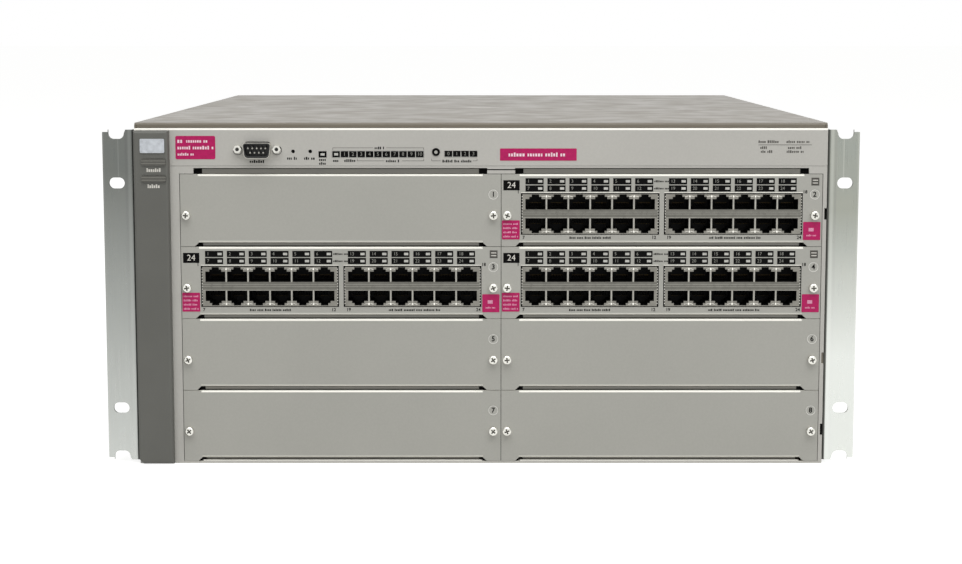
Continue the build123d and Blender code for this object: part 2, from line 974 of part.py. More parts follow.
def front_frame():
    """Flat frame round the slots, with a folded edge over each column."""
    x_left = column_x(0) - gap
    x_right = column_x(1) + plate_width + gap
    face = polygon([
        (-side, sheet), (x_left, sheet), (x_left, slots_top),
        (x_right, slots_top), (x_right, sheet), (side, sheet),
        (side, frame_top), (-side, frame_top),
    ])
    for column in range(slot_columns):
        x0 = column_x(column) + frame_cut_from_edge
        x1 = column_x(column) + plate_width - frame_cut_from_edge
        face -= rect(x0, x1, slots_top - gap, frame_cut)
    for row in edge_notch_rows:
        z = row_z(row) + edge_notch_lift
        face -= rect(side - edge_notch_width, side, z, z + edge_notch_height)
    frame = sheet_facing_front(face, 0, sheet)
    hems = []
    for column in range(slot_columns):
        x0 = column_x(column) + hem_start
        x1 = column_x(column) + plate_width - hem_start
        hems.append(slab(x0, x1, front, front + hem_length, frame_cut, frame_top))
    return frame + hems


def bottom_pan():
    """Flat bottom sheet under the whole chassis."""
    return slab(-side, side, front, rear, 0, sheet)


def side_panel(sign):
    """Upright wall with inward folds along its top and bottom, and its air vents."""
    inner = side - sheet
    y0 = front + sheet
    y1 = rear - sheet
    z0 = sheet
    z1 = height - sheet
    face = rect(y0, y1, z0, z1)
    if sign < 0:
        face -= fan_vents()
    else:
        face -= intake_vents()
    wall = sheet_facing_side(face, inner, sheet)
    fold_start_y = front + lip_set_back + sheet + joint
    wall += slab(inner - flange, side, y0, y1, z0, z0 + sheet)
    wall += slab(inner - flange, side, fold_start_y, y1, z1 - sheet, z1)
    if sign < 0:
        wall = mirror(wall, about=Plane.YZ)
    return wall


def fan_vents():
    """Rows of slots that fill a circle in front of each fan."""
    slots = []
    rows = int(fan_bore_radius / fan_vent_pitch)
    half = fan_vent_slot / 2
    for y, z in fan_centres():
        for k in range(-rows, rows + 1):
            lift = k * fan_vent_pitch
            reach = math.sqrt(fan_bore_radius ** 2 - lift ** 2)
            slots.append(rect(y - reach, y + reach, z + lift - half, z + lift + half))
    return slots


def intake_vents():
    """Long slots one over another beside each slot row, in two columns."""
    slots = []
    rise = (vent_lines - 1) * vent_pitch + vent_slot
    for row in range(slot_rows):
        z0 = row_z(row) + (plate_height - rise) / 2
        for k in range(vent_lines):
            z = z0 + k * vent_pitch
            for i in range(vent_columns):
                y = front + vent_first_depth + i * vent_step
                slots.append(rect(y, y + vent_length, z, z + vent_slot))
    return slots


def rear_panel():
    """Rear wall with two power supply openings and two bands of vents."""
    face = rect(-side, side, sheet, height - sheet)
    for sign in supply_signs.values():
        x0, x1 = supply_span(sign)
        face -= rect(
            x0 - supply_play, x1 + supply_play, sheet, sheet + supply_height + 2 * supply_play
        )
        u0, u1 = sorted((sign * rear_vent_inset, sign * (rear_vent_inset + rear_vent_length)))
        for k in range(rear_vent_lines):
            z = height - rear_vent_drop - k * rear_vent_pitch
            face -= rect(u0, u1, z - rear_vent_slot, z)
    return sheet_facing_front(face, depth - sheet, sheet)


def top_cover():
    """Top sheet with a short lip folded down at the front."""
    y0 = front + lip_set_back
    outer = rect(y0, rear, height - lip, height)
    outer = round_corners(outer, [(y0, height)], fold_radius)
    hollow = rect(y0 + sheet, rear, height - lip, height - sheet)
    cover = sheet_facing_side(outer - hollow, -side, width)
    trim = sheet + joint
    cover -= [
        slab(x, x + trim, y0 - sheet, y0 + sheet, height - 2 * lip, height - sheet)
        for x in (-side, side - trim)
    ]
    return cover


def rack_bracket(sign):
    """Angle bracket: a leg on the side wall and an ear with two slots and two notches."""
    ear_end = side + ear_width
    low = rack_slot_z - bracket_end
    high = rack_slot_z + rack_slot_rise + bracket_end
    drop = bracket_tip_drop
    tip = ear_end - bracket_tip_width
    ear = polygon([
        (side, low), (tip, low), (tip, low + drop), (ear_end, low + drop),
        (ear_end, high - drop), (tip, high - drop), (tip, high), (side, high),
    ])
    slot_x = rack_slot_spacing / 2
    slot_width = rack_slot_length
    cuts = []
    for z in (rack_slot_z, rack_slot_z + rack_slot_rise):
        slot = Pos(slot_x, z) * SlotOverall(slot_width, 2 * rack_slot_radius)
        cuts.append(slot)
    for z, way in (
        (rack_slot_z - rack_notch_step, -1),
        (rack_slot_z + rack_slot_rise + rack_notch_step, 1),
    ):
        cuts.append(Pos(slot_x, z) * SlotOverall(slot_width, 2 * rack_slot_radius))
        mouth = slot_width / 2 + rack_notch_mouth
        far = z + way * (rack_slot_radius + bracket_sheet)
        cuts.append(polygon([
            (slot_x - slot_width / 2, z), (slot_x + slot_width / 2, z),
            (slot_x + slot_width / 2, far), (slot_x - mouth, far),
        ]))
    ear = ear - cuts
    ear_plate = sheet_facing_front(ear, 0, bracket_sheet)
    leg = slab(side, side + bracket_sheet, front, front + bracket_leg, low, high)
    bracket = leg + ear_plate
    corner = [
        e for e in bracket.edges().filter_by(Axis.Z)
        if abs(e.center().X - side) < same_place and abs(e.center().Y - front) < same_place
    ]
    bracket = fillet(corner, bracket_sheet)
    if sign < 0:
        bracket = mirror(bracket, about=Plane.YZ)
    return bracket


def chassis_screws():
    """Pan heads of the screws of the rack brackets, seated on the bracket legs."""
    heads = []
    for d in bracket_screw_depths:
        for z in bracket_screw_heights:
            outer = side + bracket_sheet
            head = rod_along_x(front + d, z, bracket_screw_radius, outer, bracket_screw_head)
            heads += [head, mirror(head, about=Plane.YZ)]
    return heads


def supply_span(sign):
    """Lower and upper X of a power supply case."""
    return sorted((
        sign * supply_from_centre,
        sign * (supply_from_centre + supply_width),
    ))


def supply_bottom():
    """Height of the underside of a power supply."""
    return sheet + supply_play / 2


def supply_middle():
    """Height of the middle of a power supply."""
    return supply_bottom() + supply_height / 2


def psu_bay():
    """Folded cover over the power supplies, with a wall on each side of both."""
    top = sheet + supply_height + 3 * supply_play
    outer = supply_from_centre + supply_width + supply_play
    inner = supply_from_centre - supply_play
    start = depth - supply_length + supply_play
    profile = rect(-outer - sheet, outer + sheet, top, top + sheet)
    for x in (-outer - sheet, -inner, inner - sheet, outer):
        profile += rect(x, x + sheet, sheet, top)
    return sheet_facing_front(profile, start, depth - sheet - start)


def supply_inlet_place(sign):
    """Centre in X and Z of a power inlet."""
    x0, x1 = supply_span(sign)
    return x1 - inlet_from_edge, supply_bottom() + supply_height - inlet_from_top


def psu_case(sign):
    """Power supply: hollow sheet case with end tabs, thumb screws and a slotted rear."""
    x0, x1 = supply_span(sign)
    z0 = supply_bottom()
    z1 = z0 + supply_height
    y0 = rear - supply_length
    wall = supply_wall
    case = slab(x0, x1, y0, rear + sheet, z0, z1)
    case -= slab(x0 + wall, x1 - wall, y0 + wall, rear, z0 + wall, z1 - wall)
    middle = supply_middle()
    tab_half = supply_tab_height / 2
    case += slab(
        x0 - supply_tab, x1 + supply_tab, rear, rear + sheet,
        middle - tab_half, middle + tab_half,
    )
    for x in (x0 - supply_tab / 2, x1 + supply_tab / 2):
        case += rod_along_y(x, middle, thumb_radius, depth + sheet, thumb_length)
    left = x0 + grille_from_edge
    rows = int((supply_height - 2 * grille_from_bottom - grille_slot) / grille_pitch) + 1
    cuts = []
    for k in range(rows):
        z = z0 + grille_from_bottom + k * grille_pitch
        cuts.append(slab(
            left, left + grille_width, rear - wall, rear + 2 * sheet, z, z + grille_slot
        ))
    x, z = supply_inlet_place(sign)
    half = inlet_width / 2 + inlet_play
    tall = inlet_height / 2 + inlet_play
    cuts.append(slab(x - half, x + half, rear - wall, rear + 2 * sheet, z - tall, z + tall))
    return case - cuts


def inlet_well(x, z):
    """Outline of the well of a mains inlet, with its two upper corners cut."""
    wide = inlet_width / 2 - inlet_wall
    high = inlet_height / 2 - inlet_wall
    cut = inlet_chamfer
    return polygon([
        (x - wide, z - high), (x + wide, z - high), (x + wide, z + high - cut),
        (x + wide - cut, z + high), (x - wide + cut, z + high), (x - wide, z + high - cut),
    ])


def psu_inlet(sign):
    """Mains inlet: a plastic well with two cut corners and three flat pins."""
    x, z = supply_inlet_place(sign)
    half = inlet_width / 2
    tall = inlet_height / 2
    rim = inlet_rim
    body = slab(
        x - half, x + half, rear - inlet_depth, rear + sheet, z - tall, z + tall
    )
    body += slab(
        x - half - rim, x + half + rim, rear + sheet, rear + sheet + rim,
        z - tall - rim, z + tall + rim,
    )
    floor = depth - inlet_depth + inlet_floor
    body -= sheet_facing_front(inlet_well(x, z), floor, depth + sheet + rim - floor)
    pin_half = inlet_pin[0] / 2
    pin_tall = inlet_pin[1] / 2
    for dx, dz in ((-inlet_pin_gap, -inlet_pin_drop), (inlet_pin_gap, -inlet_pin_drop),
                   (0, inlet_pin_drop)):
        body += slab(
            x + dx - pin_half, x + dx + pin_half,
            rear - inlet_depth, rear - inlet_pin_recess,
            z + dz - pin_tall, z + dz + pin_tall,
        )
    return body


def handle_x(sign):
    """X of the pull handle of a power supply."""
    return supply_span(sign)[0] + grille_from_edge + grille_width + handle_from_grille


def psu_handle(sign):
    """Pull handle bent from flat bar, upright beside the grille."""
    z0 = supply_middle() - handle_height / 2
    z1 = z0 + handle_height
    y0 = rear + sheet
    y1 = y0 + handle_reach
    outer = round_corners(rect(y0, y1, z0, z1), [(y1, z0), (y1, z1)], handle_bend)
    y1 -= handle_sheet
    z0 += handle_sheet
    z1 -= handle_sheet
    inner = round_corners(
        rect(y0, y1, z0, z1), [(y1, z0), (y1, z1)], handle_bend - handle_sheet
    )
    return sheet_facing_side(outer - inner, handle_x(sign) - handle_width / 2, handle_width)


def write(name, shape):
    """Writes one sub-part; a list of solids becomes one file with several solids."""
    if isinstance(shape, (list, tuple)):
        shape = Compound(children=[s.solid() for s in shape])
    export_step(shape, f"parts/{name}.step")


def main():
    """Builds every sub-part and writes it."""
    os.makedirs("parts", exist_ok=True)
    write("bottom_pan", bottom_pan())
    write("left_side_panel", side_panel(-1))
    write("right_side_panel", side_panel(1))
    write("rear_panel", rear_panel())
    write("top_cover", top_cover())
    write("front_frame", front_frame())
    write("control_panel", control_panel())
    write("side_bezel", side_bezel())
    write("bezel_badge", bezel_badge())
    write("front_lights", front_lights())
    write("rack_bracket_left", rack_bracket(-1))
    write("rack_bracket_right", rack_bracket(1))
    write("chassis_screws", chassis_screws())
    write("cage_walls", cage_walls())
    write("slot_shelves", slot_shelves())
    write("card_guides", card_guides())
    write("backplane", backplane())
    write("management_board", management_board())
    write("console_connector", console_connector())
    write("console_jackscrews", console_jackscrews())
    write("psu_bay", psu_bay())
    write("reset_button", button(
        reset_x, pinhole_z, plunger_radius, plunger_recess, plunger_travel
    ))
    write("clear_button", button(
        clear_x, pinhole_z, plunger_radius, plunger_recess, plunger_travel
    ))
    write("mode_button", button(mode_x, mode_z, mode_radius, -mode_proud, mode_travel))
    centres = fan_centres()
    write("fan_frames", [fan_frame(y, z) for y, z in centres])
    for k, (y, z) in enumerate(centres, start=1):
        write(f"fan_rotor_{k}", fan_rotor(y, z))
    for name, (column, row) in cover_slots.items():
        write(f"cover_{name}", slot_plate(column, row))
        write(f"cover_{name}_screws", slot_screws(column, row))
    for name, (column, row) in module_slots.items():
        write(f"module_{name}_faceplate", module_faceplate(column, row))
        write(f"module_{name}_screws", slot_screws(column, row))
        write(f"module_{name}_jacks", socket_blocks(column, row))
        write(f"module_{name}_lights", module_lights(column, row))
        write(f"module_{name}_board", module_board(column, row))
    for name, sign in supply_signs.items():
        write(f"psu_{name}_case", psu_case(sign))
        write(f"psu_{name}_inlet", psu_inlet(sign))
        write(f"psu_{name}_handle", psu_handle(sign))


if __name__ == "__main__":
    main()
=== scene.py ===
"""Looks of a modular chassis switch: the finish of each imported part, the small pieces on
them, and the stage that they are seen on."""

import math
import random

import bmesh
import bpy
from mathutils import Matrix, Vector


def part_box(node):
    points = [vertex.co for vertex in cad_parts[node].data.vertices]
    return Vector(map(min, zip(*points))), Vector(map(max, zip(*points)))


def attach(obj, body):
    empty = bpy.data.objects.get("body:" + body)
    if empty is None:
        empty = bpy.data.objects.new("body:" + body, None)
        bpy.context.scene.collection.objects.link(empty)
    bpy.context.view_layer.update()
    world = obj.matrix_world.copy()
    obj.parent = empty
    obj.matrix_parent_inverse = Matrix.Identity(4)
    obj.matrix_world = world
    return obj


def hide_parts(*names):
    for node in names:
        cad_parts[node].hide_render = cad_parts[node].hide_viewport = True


bl_info = {
    "name": "Modular chassis switch",
    "version": (1, 0, 0),
    "blender": (4, 5, 0),
    "location": "3D View > Sidebar > Switch",
    "description": "Finishes and small pieces of a rack switch with eight slots",
    "category": "Object",
}

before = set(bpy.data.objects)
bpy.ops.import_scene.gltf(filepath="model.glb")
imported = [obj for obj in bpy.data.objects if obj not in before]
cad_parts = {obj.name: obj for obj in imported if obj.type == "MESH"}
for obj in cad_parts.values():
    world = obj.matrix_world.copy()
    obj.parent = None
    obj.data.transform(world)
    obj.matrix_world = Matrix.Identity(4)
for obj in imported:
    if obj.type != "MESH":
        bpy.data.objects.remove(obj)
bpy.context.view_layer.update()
MM = 0.001
CHASSIS = "chassis"
MODULES = ("b", "c", "d")
SLOT_NUMBERS = {"a": 1, "b": 2, "c": 3, "d": 4, "e": 5, "f": 6, "g": 7, "h": 8}
SUPPLIES = ("1", "2")
FANS = ("1", "2", "3", "4")


def slot_body(slot):
    """Name of the moving body that a slot's plate belongs to."""
    return f"module_{slot}" if slot in MODULES else f"cover_{slot}"


def plate_node(slot):
    """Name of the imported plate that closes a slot."""
    return slot_body(slot) + ("_faceplate" if slot in MODULES else "")


def span(node):
    """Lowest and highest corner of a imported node, in millimetres."""
    low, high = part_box(node)
    return low / MM, high / MM


# Front face and right side of the chassis, and the low edges of the bezel's light guides.
FRONT = span("front_frame")[0].y
SIDE = 221.0
PIPE_LOWS = (193.3, 182.7)
PLATE = {slot: span(plate_node(slot)) for slot in SLOT_NUMBERS}


# Colours

def linear(hex_colour):
    """Linear red, green, blue and alpha of an sRGB hex colour."""
    values = []
    for k in (0, 2, 4):
        share = int(hex_colour[k:k + 2], 16) / 255
        low = share / 12.92
        values.append(low if share <= 0.04045 else ((share + 0.055) / 1.055) ** 2.4)
    return (*values, 1.0)


def colour_property(name, description, hex_colour):
    """A colour that a user can change, with its sRGB hex default."""
    return bpy.props.FloatVectorProperty(
        name=name, description=description, subtype="COLOR", size=4, min=0.0, max=1.0,
        default=linear(hex_colour),
    )


def length_property(name, description, millimetres):
    """A length in millimetres that a user can change."""
    return bpy.props.FloatProperty(
        name=name, description=description, default=millimetres, min=0.01, soft_max=500.0,
    )


class SwitchColours(bpy.types.PropertyGroup):
    """Colours of the finishes."""

    panel: colour_property("Panel paint", "Powder coat of the panel and frame", "b4b2ac")
    plate: colour_property("Plate paint", "Powder coat of the covers and faceplates", "a6a59e")
    cover: colour_property("Top paint", "Powder coat of the top cover", "6b6457")
    bezel: colour_property("Bezel plastic", "Moulded plastic of the side bezel", "5a5a55")
    label: colour_property("Label colour", "Vinyl of the coloured labels", "b01159")
    ink: colour_property("Ink", "Black screen printed ink", "080808")
    # The two brackets are one zinc: the left is a darker, shaded copy and the right a lighter,
    # lit copy.
    left_ear: colour_property("Left bracket zinc", "Zinc plate of the left bracket", "6f716e")
    right_ear: colour_property("Right bracket zinc", "Zinc plate of the right one", "94968f")


class SwitchSizes(bpy.types.PropertyGroup):
    """Sizes of the small pieces, in millimetres."""

    ink: length_property("Ink thickness", "How far printed ink stands proud", 0.06)
    label: length_property("Label thickness", "How far a vinyl label stands proud", 0.12)
    port_pitch: length_property("Port pitch", "From one port to the next", 14.0)
    box_width: length_property("Light box width", "Width of a printed light box", 11.6)
    box_height: length_property("Light box height", "Height of a printed light box", 4.0)
    contact: length_property("Contact width", "Width of a socket contact", 0.42)
    contact_pitch: length_property("Contact pitch", "From one contact to the next", 1.02)


class StageSettings(bpy.types.PropertyGroup):
    """Camera and light of the photograph's view."""

    distance: length_property("Camera distance", "From the camera to the front face", 1057.5)
    camera_height: length_property("Camera height", "Height of the camera", 279.3)
    pitch: bpy.props.FloatProperty(
        name="Camera pitch", description="How far the camera looks down, in degrees",
        default=5.653, min=0.0, max=90.0,
    )
    lens: bpy.props.FloatProperty(
        name="Lens", description="Focal length on a 36 mm sensor", default=62.232, min=10.0,
    )
    shift: bpy.props.FloatProperty(
        name="Shift", description="Vertical shift of the lens", default=-0.09,
        min=-1.0, max=1.0,
    )
    room_light: bpy.props.FloatProperty(
        name="Room light", description="Strength of the light from all around",
        default=0.42, min=0.0,
    )
    overhead: bpy.props.FloatProperty(
        name="Overhead light", description="Power of the soft light above", default=31.0,
        min=0.0,
    )
    front_light: bpy.props.FloatProperty(
        name="Front light", description="Power of the soft light in front", default=9.0,
        min=0.0,
    )


# Building pieces

def add(tree, kind, settings=None, inputs=None):
    """Adds one node with its settings, and sets or links its inputs."""
    made = tree.nodes.new(kind)
    for key, value in (settings or {}).items():
        setattr(made, key, value)
    for key, value in (inputs or {}).items():
        if isinstance(value, bpy.types.NodeSocket):
            tree.links.new(value, made.inputs[key])
        else:
            made.inputs[key].default_value = value
    return made


def block(bm, low, high, bevel=0.0):
    """Adds a box between two corners, in millimetres, and rounds its edges by bevel."""
    low, high = Vector(low), Vector(high)
    verts = bmesh.ops.create_cube(bm, size=1.0)["verts"]
    bmesh.ops.scale(bm, vec=(high - low) * MM, verts=verts)
    bmesh.ops.translate(bm, vec=(low + high) / 2 * MM, verts=verts)
    if bevel:
        edges = {edge for vert in verts for edge in vert.link_edges}
        made = bmesh.ops.bevel(
            bm, geom=list(edges), offset=bevel * MM, offset_type="OFFSET", affect="EDGES",
            segments=2, profile=0.5, material=-1,
        )
        verts = list({vert for face in made["faces"] for vert in face.verts} | {
            vert for vert in verts if vert.is_valid
        })
    return verts


def panel_plate(bm, x0, x1, z0, z1, depth, radius=0.0, back=0.0):
    """Adds a thin plate on the front face, with rounded corners, in millimetres."""
    verts = block(bm, (x0, FRONT - depth, z0), (x1, FRONT - back, z1))
    if radius:
        upright = [
            edge for edge in {e for v in verts for e in v.link_edges}
            if abs(edge.verts[0].co.y - edge.verts[1].co.y) > 1e-6
        ]
        bmesh.ops.bevel(
            bm, geom=upright, offset=radius * MM, offset_type="OFFSET", affect="EDGES",
            segments=4, profile=0.5, material=-1,
        )


def open_plate(bm, outer, inner, depth, upright=False):
    """Adds a flat frame between two rectangles (x0, x1, z0, z1), in millimetres. Its top and
    bottom have the full width, or where it is upright, its sides have the full height."""
    x0, x1, z0, z1 = outer
    left, right, low, high = inner
    if upright:
        bars = ((x0, left, z0, z1), (right, x1, z0, z1), (left, right, high, z1),
                (left, right, z0, low))
    else:
        bars = ((x0, x1, high, z1), (x0, x1, z0, low), (x0, left, low, high),
                (right, x1, low, high))
    for bar in bars:
        panel_plate(bm, *bar, depth)


def disc(bm, centre, radius, depth, sides=24):
    """Adds a round plate; centre is the middle of its near face, in millimetres."""
    made = bmesh.ops.create_cone(
        bm, cap_ends=True, segments=sides, radius1=radius * MM, radius2=radius * MM,
        depth=depth * MM,
    )["verts"]
    bmesh.ops.rotate(bm, cent=(0, 0, 0), matrix=Matrix.Rotation(math.radians(-90), 3, "X"),
                     verts=made)
    bmesh.ops.translate(bm, vec=(Vector(centre) + Vector((0, depth / 2, 0))) * MM, verts=made)


def ring(bm, centre, inner, outer, depth, sides=40):
    """Adds a flat ring; centre is the middle of its near face, in millimetres."""
    made = bmesh.ops.create_circle(bm, segments=sides, radius=outer * MM)["verts"]
    rim = [edge for edge in {e for v in made for e in v.link_edges}]
    grown = bmesh.ops.extrude_edge_only(bm, edges=rim)["geom"]
    hole = [item for item in grown if isinstance(item, bmesh.types.BMVert)]
    bmesh.ops.scale(bm, vec=(inner / outer,) * 3, verts=hole)
    flat = made + hole
    bmesh.ops.rotate(bm, cent=(0, 0, 0), matrix=Matrix.Rotation(math.radians(90), 3, "X"),
                     verts=flat)
    bmesh.ops.translate(bm, vec=Vector(centre) * MM, verts=flat)
    faces = list({face for vert in flat for face in vert.link_faces})
    back = bmesh.ops.extrude_face_region(bm, geom=faces)["geom"]
    back_verts = [item for item in back if isinstance(item, bmesh.types.BMVert)]
    bmesh.ops.translate(bm, vec=(0, depth * MM, 0), verts=back_verts)
    everything = {face for vert in flat + back_verts for face in vert.link_faces}
    bmesh.ops.recalc_face_normals(bm, faces=list(everything))


# Shares of a screw head's radius: chamfer, crown, and half width, arm and depth of its recess.
CHAMFER, CROWN, CROSS_HALF, CROSS_ARM, CROSS_DEPTH = 0.16, 0.13, 0.17, 0.62, 0.4


def cross_screw(bm, radius, height):
    """Adds a screw head at the origin that faces up, with a cross recess in it."""
    head = bmesh.ops.create_cone(
        bm, cap_ends=True, segments=24, radius1=radius * MM, radius2=radius * MM,
        depth=height * MM,
    )["verts"]
    bmesh.ops.translate(bm, vec=(0, 0, height / 2 * MM), verts=head)
    face = next(f for v in head for f in v.link_faces if f.normal.z > 0.9)
    bmesh.ops.inset_region(
        bm, faces=[face], thickness=radius * CHAMFER * MM, use_even_offset=True
    )
    bmesh.ops.translate(bm, vec=(0, 0, radius * CROWN * MM), verts=list(face.verts))
    half, arm = radius * CROSS_HALF * MM, radius * CROSS_ARM * MM
    pieces = [face, *face.edges, *face.verts]
    for normal in ((1, 0, 0), (0, 1, 0)):
        for far in (-arm, -half, half, arm):
            pieces = bmesh.ops.bisect_plane(
                bm, geom=pieces, plane_co=Vector(normal) * far, plane_no=normal, dist=1e-7,
            )["geom"]
    recess = []
    for item in pieces:
        if isinstance(item, bmesh.types.BMFace):
            middle = item.calc_center_median()
            near, far = sorted((abs(middle.x), abs(middle.y)))
            if near < half and far < arm:
                recess.append(item)
    walls = bmesh.ops.inset_region(
        bm, faces=recess, thickness=0.02 * MM, depth=-radius * CROSS_DEPTH * MM
    )["faces"]
    # The recess gets the second, darker finish: painted shade.
    for item in walls + recess:
        item.material_index = 1


def screw_at(bm, seat, radius, height, way):
    """Adds a cross screw on a seat, in millimetres, that points a way."""
    single = bmesh.new()
    cross_screw(single, radius, height)
    spin = Matrix.Rotation(math.radians(17 * (seat[0] + seat[2])), 4, "Z")
    face = Vector(way).to_track_quat("Z", "Y").to_matrix().to_4x4()
    single.transform(Matrix.Translation(Vector(seat) * MM) @ face @ spin)
    mesh = bpy.data.meshes.new("screw")
    single.to_mesh(mesh)
    single.free()
    bm.from_mesh(mesh)
    bpy.data.meshes.remove(mesh)


def finish_piece(bm, name, word, body, second=None):
    """Makes an object of a mesh, gives it the named finish and lets it move with its body."""
    mesh = bpy.data.meshes.new(name)
    bm.to_mesh(mesh)
    bm.free()
    piece = bpy.data.objects.new(name, mesh)
    bpy.context.scene.collection.objects.link(piece)
    mesh.materials.append(bpy.data.materials[word])
    if second:
        mesh.materials.append(bpy.data.materials[second])
    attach(piece, body)
    return piece


def write_number(bm, text, x, z, height, depth, back=0.0, anchor="CENTER", weight=0.0):
    """Adds plain digits on the front face, their middle or edge at x and middle at z."""
    curve = bpy.data.curves.new("digits", "FONT")
    curve.body = str(text)
    curve.size = height * 1.38 * MM
    curve.align_x = anchor
    curve.align_y = "CENTER"
    curve.extrude = (depth - back) / 2 * MM
    curve.resolution_u = 3
    curve.offset = weight * height * MM
    holder = bpy.data.objects.new("digits", curve)
    bpy.context.scene.collection.objects.link(holder)
    bpy.context.view_layer.update()
    evaluated = holder.evaluated_get(bpy.context.evaluated_depsgraph_get())
    mesh = bpy.data.meshes.new_from_object(evaluated)
    stand = Matrix.Rotation(math.radians(90), 4, "X")
    place = Matrix.Translation(Vector((x, FRONT - (depth + back) / 2, z)) * MM)
    mesh.transform(place @ stand)
    bm.from_mesh(mesh)
    bpy.data.objects.remove(holder)
    bpy.data.curves.remove(curve)
    bpy.data.meshes.remove(mesh)


def write_bars(bm, x0, x1, z, height, depth, seed, back=0.0):
    """Adds short upright bars in groups, in place of a line of words."""
    draw = random.Random(seed)
    wide = height * 0.42
    x, left = x0, draw.randint(3, 7)
    while x < x1 - wide:
        tall = height / 2 * draw.choice((0.7, 0.7, 1.0))
        low = -height / 2 if tall > height * 0.4 else -height / 2 * 0.9
        length = wide * draw.uniform(0.8, 1.3)
        panel_plate(bm, x, x + length, z + low, z + low + 2 * tall, depth, back=back)
        x += length + height * 0.22
        left -= 1
        if not left:
            x, left = x + height * 0.5, draw.randint(3, 7)


# Finishes

RGBA = {"data_type": "RGBA"}
# Where the bezel begins and the worn edge of the brackets starts, in millimetres.
BEZEL_EDGE = -195.0
WORN_EDGE_LOW = 176.0
# Middle, width and depth of the pale patches on the top cover, in millimetres.
PALE_PATCHES = ((-185.0, 5.0, 9.0, 5.0), (1.0, -14.0, 30.0, 8.0), (149.0, -44.0, 8.0, 4.0))
# Drawn lines along X, Y and Z: how much longer than wide they are.
ALONG_X, ALONG_Y, ALONG_Z = (30.0, 1.0, 1.0), (1.0, 30.0, 1.0), (1.0, 1.0, 30.0)
BOARDS = ("module_b_board", "module_c_board", "module_d_board", "management_board")
BOARD_THICKNESS = 1.6
STANDOFF = 4.45


def new_material(name):
    """The node tree of a new material, and the coordinates that its patterns follow."""
    material = bpy.data.materials.new(name)
    material.use_nodes = True
    tree = material.node_tree
    tree.nodes.clear()
    return tree, add(tree, "ShaderNodeTexCoord").outputs["Object"]


def close_material(tree, inputs, ranges=None):
    """Adds the shader with its inputs. A range lets a pattern steer one more input: the
    pattern, where it starts and ends, and what the input is there."""
    for key, (pattern, start, end, low, high) in (ranges or {}).items():
        inputs[key] = add(tree, "ShaderNodeMapRange", None, {
            "Value": pattern, "From Min": start, "From Max": end, "To Min": low, "To Max": high,
        }).outputs["Result"]
    shader = add(tree, "ShaderNodeBsdfPrincipled", None, inputs)
    add(tree, "ShaderNodeOutputMaterial", None, {"Surface": shader.outputs["BSDF"]})


def per_metre(millimetres):
    """Scale of a pattern whose grain is this wide."""
    return 1.0 / (millimetres * MM)


def tinted(colour, share):
    """A colour made lighter or darker by a share."""
    return (*(min(value * share, 1.0) for value in colour[:3]), 1.0)


def cloudy(tree, coordinates, grain, detail, low=0.0, high=1.0, start=0.35, end=0.65):
    """A value that wanders from low to high, in clouds of a width in millimetres."""
    clouds = add(tree, "ShaderNodeTexNoise", None, {
        "Vector": coordinates, "Scale": per_metre(grain), "Detail": detail,
    }).outputs["Fac"]
    return add(tree, "ShaderNodeMapRange", None, {
        "Value": clouds, "From Min": start, "From Max": end, "To Min": low, "To Max": high,
    }).outputs["Result"]


def pebbled(tree, coordinates, grain, detail, strength, depth):
    """A fine relief, of a grain and a depth in millimetres."""
    height = add(tree, "ShaderNodeTexNoise", None, {
        "Vector": coordinates, "Scale": per_metre(grain), "Detail": detail,
    }).outputs["Fac"]
    return add(tree, "ShaderNodeBump", None, {
        "Height": height, "Strength": strength, "Distance": depth * MM,
    }).outputs["Normal"]


def past(tree, coordinates, axis, start, end, low=0.0, high=1.0):
    """A value that goes from low to high between two places on an axis, in millimetres."""
    place = add(tree, "ShaderNodeSeparateXYZ", None, {"Vector": coordinates}).outputs[axis]
    return add(tree, "ShaderNodeMapRange", None, {
        "Value": place, "From Min": start * MM, "From Max": end * MM,
        "To Min": low, "To Max": high,
    }).outputs["Result"]


def stripe(tree, coordinates, axis, centre, half, mirrored=False):
    """1 on a line across an axis, falling to 0 at half a width from it, in millimetres."""
    place = add(tree, "ShaderNodeSeparateXYZ", None, {"Vector": coordinates}).outputs[axis]
    if mirrored:
        place = add(tree, "ShaderNodeMath", {"operation": "ABSOLUTE"}, {0: place}).outputs[0]
    gap = add(tree, "ShaderNodeMath", {"operation": "SUBTRACT"}, {0: place, 1: centre * MM})
    far = add(tree, "ShaderNodeMath", {"operation": "ABSOLUTE"}, {0: gap.outputs[0]})
    return add(tree, "ShaderNodeMapRange", None, {
        "Value": far.outputs[0], "From Min": half * 0.4 * MM, "From Max": half * MM,
        "To Min": 1.0, "To Max": 0.0,
    }).outputs["Result"]


def overlap(tree, first, *others):
    """1 only where all of the patterns are 1."""
    for other in others:
        first = add(tree, "ShaderNodeMath", {"operation": "MULTIPLY"}, {
            0: first, 1: other,
        }).outputs[0]
    return first


def laid_over(tree, ground, layers):
    """A colour with others laid over it in turn, each where its own pattern is 1."""
    for pattern, colour in layers:
        ground = add(tree, "ShaderNodeMix", RGBA, {0: pattern, 6: ground, 7: colour}).outputs[2]
    return ground


def turned_over(tree, coordinates, start=0.12, end=0.4):
    """1 where a sheet turns over its front edge, up or (below 0) down, 0 elsewhere."""
    facing = add(tree, "ShaderNodeTexCoord").outputs["Normal"]
    upward = add(tree, "ShaderNodeSeparateXYZ", None, {"Vector": facing}).outputs["Z"]
    turned = add(tree, "ShaderNodeMapRange", None, {
        "Value": upward, "From Min": start, "From Max": end,
    }).outputs["Result"]
    return overlap(
        tree, turned, past(tree, coordinates, "Y", FRONT + 1.2, FRONT + 1.8, 1.0, 0.0)
    )


